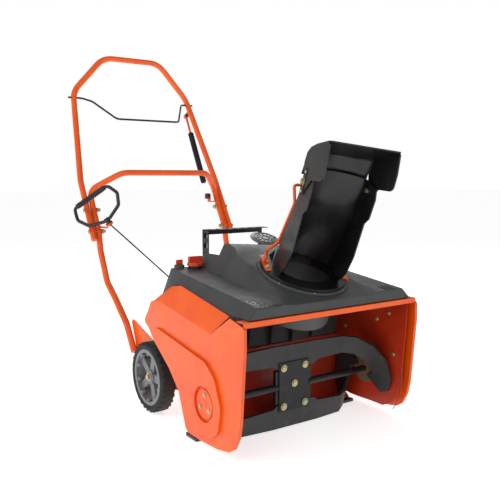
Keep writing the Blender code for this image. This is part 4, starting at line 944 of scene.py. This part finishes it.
@dataclass
class Wheels(Part):
    """Tread lugs and rim bosses of both wheels."""

    lugs: int = 30
    lug_height: float = 0.0016

    def build(self) -> None:
        """Builds both wheels' details."""
        for side, word in ((-1, "left"), (1, "right")):
            self.tread(word)
            self.bosses(side, word)

    def tread(self, word: str) -> None:
        """Two rows of slanted lugs that meet in chevrons round the tyre."""
        low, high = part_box(f"tyre_{word}")
        centre, radius = (low + high) / 2, (high.z - low.z) / 2
        half = (high.x - low.x) / 2
        far = half - 0.004
        outline = [(-0.0040, 0.001), (0.0040, 0.001), (0.0085, far), (0.0005, far)]
        shape = slab(outline, self.lug_height)
        places = []
        for index in range(self.lugs):
            for hand in (-1, 1):
                swing = math.tau * (index + (0.5 if hand > 0 else 0.0)) / self.lugs
                out = Vector((0, math.cos(swing), math.sin(swing)))
                along = Vector((hand, 0, 0))
                around = along.cross(out)
                columns = Matrix((around, along, out)).transposed()
                places.append((centre + out * (radius - self.lug_height - 0.0005), columns))
        piece = self.stamping.stamp(f"tread_{word}", shape, places, self.finishes["tyre_rubber"])
        settle(piece, f"wheel_{word}")

    def bosses(self, side: int, word: str) -> None:
        """Round bosses inside the rim between its spokes."""
        low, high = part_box(f"wheel_rim_{word}")
        centre, radius = (low + high) / 2, (high.z - low.z) / 2
        face = high.x if side > 0 else low.x
        turn = upright(Vector((side, 0, 0)))
        places = []
        for index in range(10):
            swing = math.radians(90 + 36 * index)
            out = Vector((0, math.cos(swing), math.sin(swing)))
            places.append((Vector((face - side * 0.012, centre.y, centre.z)) + out * (radius - 0.013), turn))
        boss = lathe([(0, 0.0105), (0.0050, 0.0105), (0.0064, 0.0090), (0.0070, 0.0), (0, 0.0)], 16)
        piece = self.stamping.stamp(f"rim_bosses_{word}", boss, places, self.finishes["rim_plastic"])
        settle(piece, f"wheel_{word}")


@dataclass
class Starter(Part):
    """The ribbed grip of the pull handle and the cord that runs up to it."""

    cord_radius: float = 0.0023
    end_band: float = 0.004

    def build(self) -> None:
        """Builds the grip's ribs and the cord."""
        pull = Vector(joint("starter_pull")["axis"]).normalized()
        points = [v.co.copy() for v in frame["nodes"]["recoil_handle"].data.vertices]
        reach = max(p.dot(pull) for p in points)
        grip = [p for p in points if p.dot(pull) > reach - 0.017]
        ends = (min(grip, key=lambda p: p.x), max(grip, key=lambda p: p.x))
        along = ends[1] - ends[0]
        along = (along - pull * along.dot(pull)).normalized()
        centre = sum(grip, Vector()) / len(grip)
        centre += pull * (reach - 0.0085 - centre.dot(pull))
        profile = [(0.0088, 0.0018), (0.0096, 0.0010), (0.0096, -0.0010), (0.0088, -0.0018)]
        ring = lathe(profile + [(0.0060, 0)], 20)
        turn = upright(along)
        places = [(centre + along * (-0.045 + 0.0075 * index), turn) for index in range(13)]
        ribs = self.stamping.stamp("grip_ribs", ring, places, self.finishes["black_plastic"])
        settle(ribs, "starter_handle")
        self.cord(pull)

    def cord(self, pull: Vector) -> None:
        """The starter cord, from the starter up to the handle.

        Args:
            pull: the way the handle is pulled.
        """
        cad = [v.co.copy() for v in frame["nodes"]["starter_rope"].data.vertices]
        top_height = max(p.z for p in cad)
        low_height = min(p.z for p in cad)
        near_top = [p for p in cad if p.z > top_height - self.end_band]
        near_low = [p for p in cad if p.z < low_height + self.end_band]
        top = sum(near_top, Vector()) / len(near_top)
        low = sum(near_low, Vector()) / len(near_low)
        guide = top - pull * 0.0035
        points = [low.lerp(guide, step / 60) for step in range(60)]
        points += [guide + (top - guide) * (step / 6) for step in range(7)]
        cord = put(bar(points, self.cord_radius, 12), "starter_cord", 60)
        cord.data.materials.append(self.finishes["rope"])
        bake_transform(cord)
        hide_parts("starter_rope")
        LOG.info("piece %s stretches from chassis to starter_handle", cord.name)


@dataclass
class Engine(Part):
    """The heat shield's pressed pattern, the cylinder's fins and the punched guard."""

    def build(self) -> None:
        """Builds the engine bay's visible details."""
        self.shield()
        self.fins()
        self.guard()

    def guard(self) -> None:
        """The punched exhaust guard: a slotted left post and top, and a back with one wide window."""
        low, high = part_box("muffler_guard")
        wide, deep, tall = high - low
        sheet = 0.0018
        slots = [0.006 + 0.0145 * index for index in range(14)]
        xs = [0.0] + [x for x in slots if x < wide - 0.006] + [wide]
        top = pierced(xs, [0.0, 0.008, deep - 0.008, deep], {(i, 1) for i in range(1, len(xs) - 2, 2)}, sheet)
        zs = [0.0] + [z for z in slots if z < tall - 0.006] + [tall]
        holes = {(1, j) for j in range(1, len(zs) - 2, 2)}
        side = pierced([0.0, 0.008, deep - 0.008, deep], zs, holes, sheet)
        back = pierced([0.0, 0.014, wide - 0.014, wide], [0.0, 0.022, tall - 0.016, tall], {(1, 1)}, sheet)
        upright_side = Matrix(((0, 0, 1), (1, 0, 0), (0, 1, 0)))
        upright_back = Matrix(((1, 0, 0), (0, 0, -1), (0, 1, 0)))
        cages = [
            move(top, Vector((low.x, low.y, high.z - sheet))),
            move(side, low, upright_side),
            move(back, Vector((low.x, high.y, low.z)), upright_back),
        ]
        piece = put(merge(cages), "exhaust_guard", 30)
        settle(piece, "chassis", self.finishes["black_steel"])
        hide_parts("muffler_guard")

    def shield(self) -> None:
        """Spokes and rings pressed into the bright disc, which lies like the hood's slope; the spokes are
        dark steel slabs, painted shade of the pressed slots.
        """
        up = Vector(joint("chute_turn")["axis"]).normalized()
        points = [v.co.copy() for v in frame["nodes"]["heat_shield"].data.vertices]
        top = max(p.dot(up) for p in points)
        rim = [p for p in points if p.dot(up) > top - 0.0065]
        centre = sum(rim, Vector()) / len(rim)
        centre += up * (top - centre.dot(up))
        turn = upright(up)
        beads = [[(r + 0.0014, 0.0), (r, 0.0016), (r - 0.0014, 0.0), (r, -0.0004)] for r in (0.0335, 0.012)]
        rings = [lathe(bead, 48) for bead in beads]
        piece = put(merge([move(cage, centre, turn) for cage in rings]), "shield_rings")
        settle(piece, "chassis", self.finishes["bright_steel"])
        first = up.orthogonal().normalized()
        second = up.cross(first)
        places = []
        for index in range(12):
            swing = math.tau * index / 12
            out = first * math.cos(swing) + second * math.sin(swing)
            columns = Matrix((out, up.cross(out), up)).transposed()
            places.append((centre + out * 0.0225 - up * 0.0004, columns))
        # Painted shade: each spoke slot is a dark steel slab lying on the disc, not a cut or pressed slot.
        outline = [(-0.006, -0.0012), (0.006, -0.0020), (0.0068, 0), (0.006, 0.0020), (-0.006, 0.0012)]
        slot = slab(outline, 0.0011)
        piece = self.stamping.stamp("shield_slots", slot, places, self.finishes["black_steel"])
        settle(piece, "chassis")

    def fins(self) -> None:
        """Cooling fins round the cylinder."""
        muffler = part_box("muffler")
        top = muffler[0].z - 0.006
        left, right = from_lip(-0.062, 0, 0).x, from_lip(0.092, 0, 0).x
        front, back = from_lip(0, 0.358, 0).y, from_lip(0, 0.463, 0).y
        outline = [(left, front), (right, front), (right, back), (left, back)]
        turn = Matrix.Identity(3)
        centre = Vector(((left + right) / 2, (front + back) / 2, 0))
        shape = slab([(x - centre.x, y - centre.y) for x, y in outline], 0.0018)
        places = [(Vector((centre.x, centre.y, top - 0.0105 * index)), turn) for index in range(7)]
        piece = self.stamping.stamp("cylinder_fins", shape, places, self.finishes["cast_aluminium"])
        settle(piece, "chassis")


# ---------------------------------------------------------------- studio


@dataclass
class Studio:
    """The camera, the pale floor and the soft lights.

    Attributes:
        eye: the camera's place in the row frame.
        heading: its heading in degrees, turned from +Y.
        dip: how far it looks down, in degrees.
        lens: its focal length on a 36 mm sensor.
    """

    eye: tuple[float, float, float] = (-1.06327, -1.68933, 0.66673)
    heading: float = -34.654
    dip: float = 6.2836
    lens: float = 47.335

    def build(self) -> None:
        """Builds the whole studio."""
        self.camera()
        self.floor()
        self.light()

    def camera(self) -> None:
        """The camera at the viewing angle of a catalogue view from the front left."""
        data = bpy.data.cameras.new("camera")
        data.lens = self.lens
        data.sensor_width = 36.0
        data.clip_start = 0.05
        thing = bpy.data.objects.new("camera", data)
        thing.location = self.eye
        thing.rotation_euler = (math.radians(90 - self.dip), 0.0, math.radians(self.heading))
        bpy.context.scene.collection.objects.link(thing)
        bpy.context.scene.camera = thing

    def floor(self) -> None:
        """A wide pale floor just under the tyres."""
        cage = bmesh.new()
        bmesh.ops.create_grid(cage, x_segments=2, y_segments=2, size=30)
        floor = put(cage, "floor")
        floor.location.z = -0.0005
        material = bpy.data.materials.new("floor_paper")
        material.use_nodes = True
        shader = material.node_tree.nodes["Principled BSDF"]
        shader.inputs["Base Color"].default_value = (0.92, 0.92, 0.92, 1)
        shader.inputs["Roughness"].default_value = 0.9
        shader.inputs["Emission Color"].default_value = (1, 1, 1, 1)
        shader.inputs["Emission Strength"].default_value = 0.66
        floor.data.materials.append(material)

    def light(self) -> None:
        """A bright even sky, a large key from the upper left and softer fills."""
        world = bpy.data.worlds.new("studio")
        world.use_nodes = True
        tree = world.node_tree
        sky = tree.nodes["Background"]
        sky.inputs["Color"].default_value = (1, 1, 1, 1)
        # Seen straight on the sky is paper white, while it lights the machine less,
        # so that paint keeps its depth.
        seen = add_node(tree, "ShaderNodeLightPath").outputs["Is Camera Ray"]
        level = add_node(tree, "ShaderNodeMapRange", {"Value": seen, "To Min": 0.34, "To Max": 1.0})
        tree.links.new(level.outputs[0], sky.inputs["Strength"])
        bpy.context.scene.world = world
        bpy.context.scene.view_settings.view_transform = "Standard"
        lamps = (
            ("key", (-2.6, -1.6, 2.6), 2.0, 20.0),
            ("cheek", (-2.6, 0.3, 1.3), 1.6, 18.0),
            ("front", (0.4, -3.2, 1.5), 2.2, 14.0),
            ("back", (1.8, 2.6, 2.4), 2.0, 26.0),
        )
        for name, place, size, power in lamps:
            data = bpy.data.lights.new(name, "AREA")
            data.size = size
            data.energy = power
            lamp = bpy.data.objects.new(name, data)
            lamp.location = place
            aim = Vector((0, 0, 0.45)) - Vector(place)
            lamp.rotation_euler = aim.to_track_quat("-Z", "Y").to_euler()
            bpy.context.scene.collection.objects.link(lamp)


def main() -> None:
    """Builds the studio, dresses the CAD nodes and adds every sub-assembly's details."""
    logging.basicConfig(level=logging.INFO, format="%(name)s: %(message)s")
    Studio().build()
    finishes = Finishes()
    finishes.dress_nodes()
    stamping = Stamping()
    for kind in (Skins, Housing, Hood, Chute, Auger, Wheels, Starter, Engine):
        part = kind(finishes, stamping)
        part.build()
        LOG.info("sub-assembly %s is done", kind.__name__)


if __name__ == "__main__":
    main()
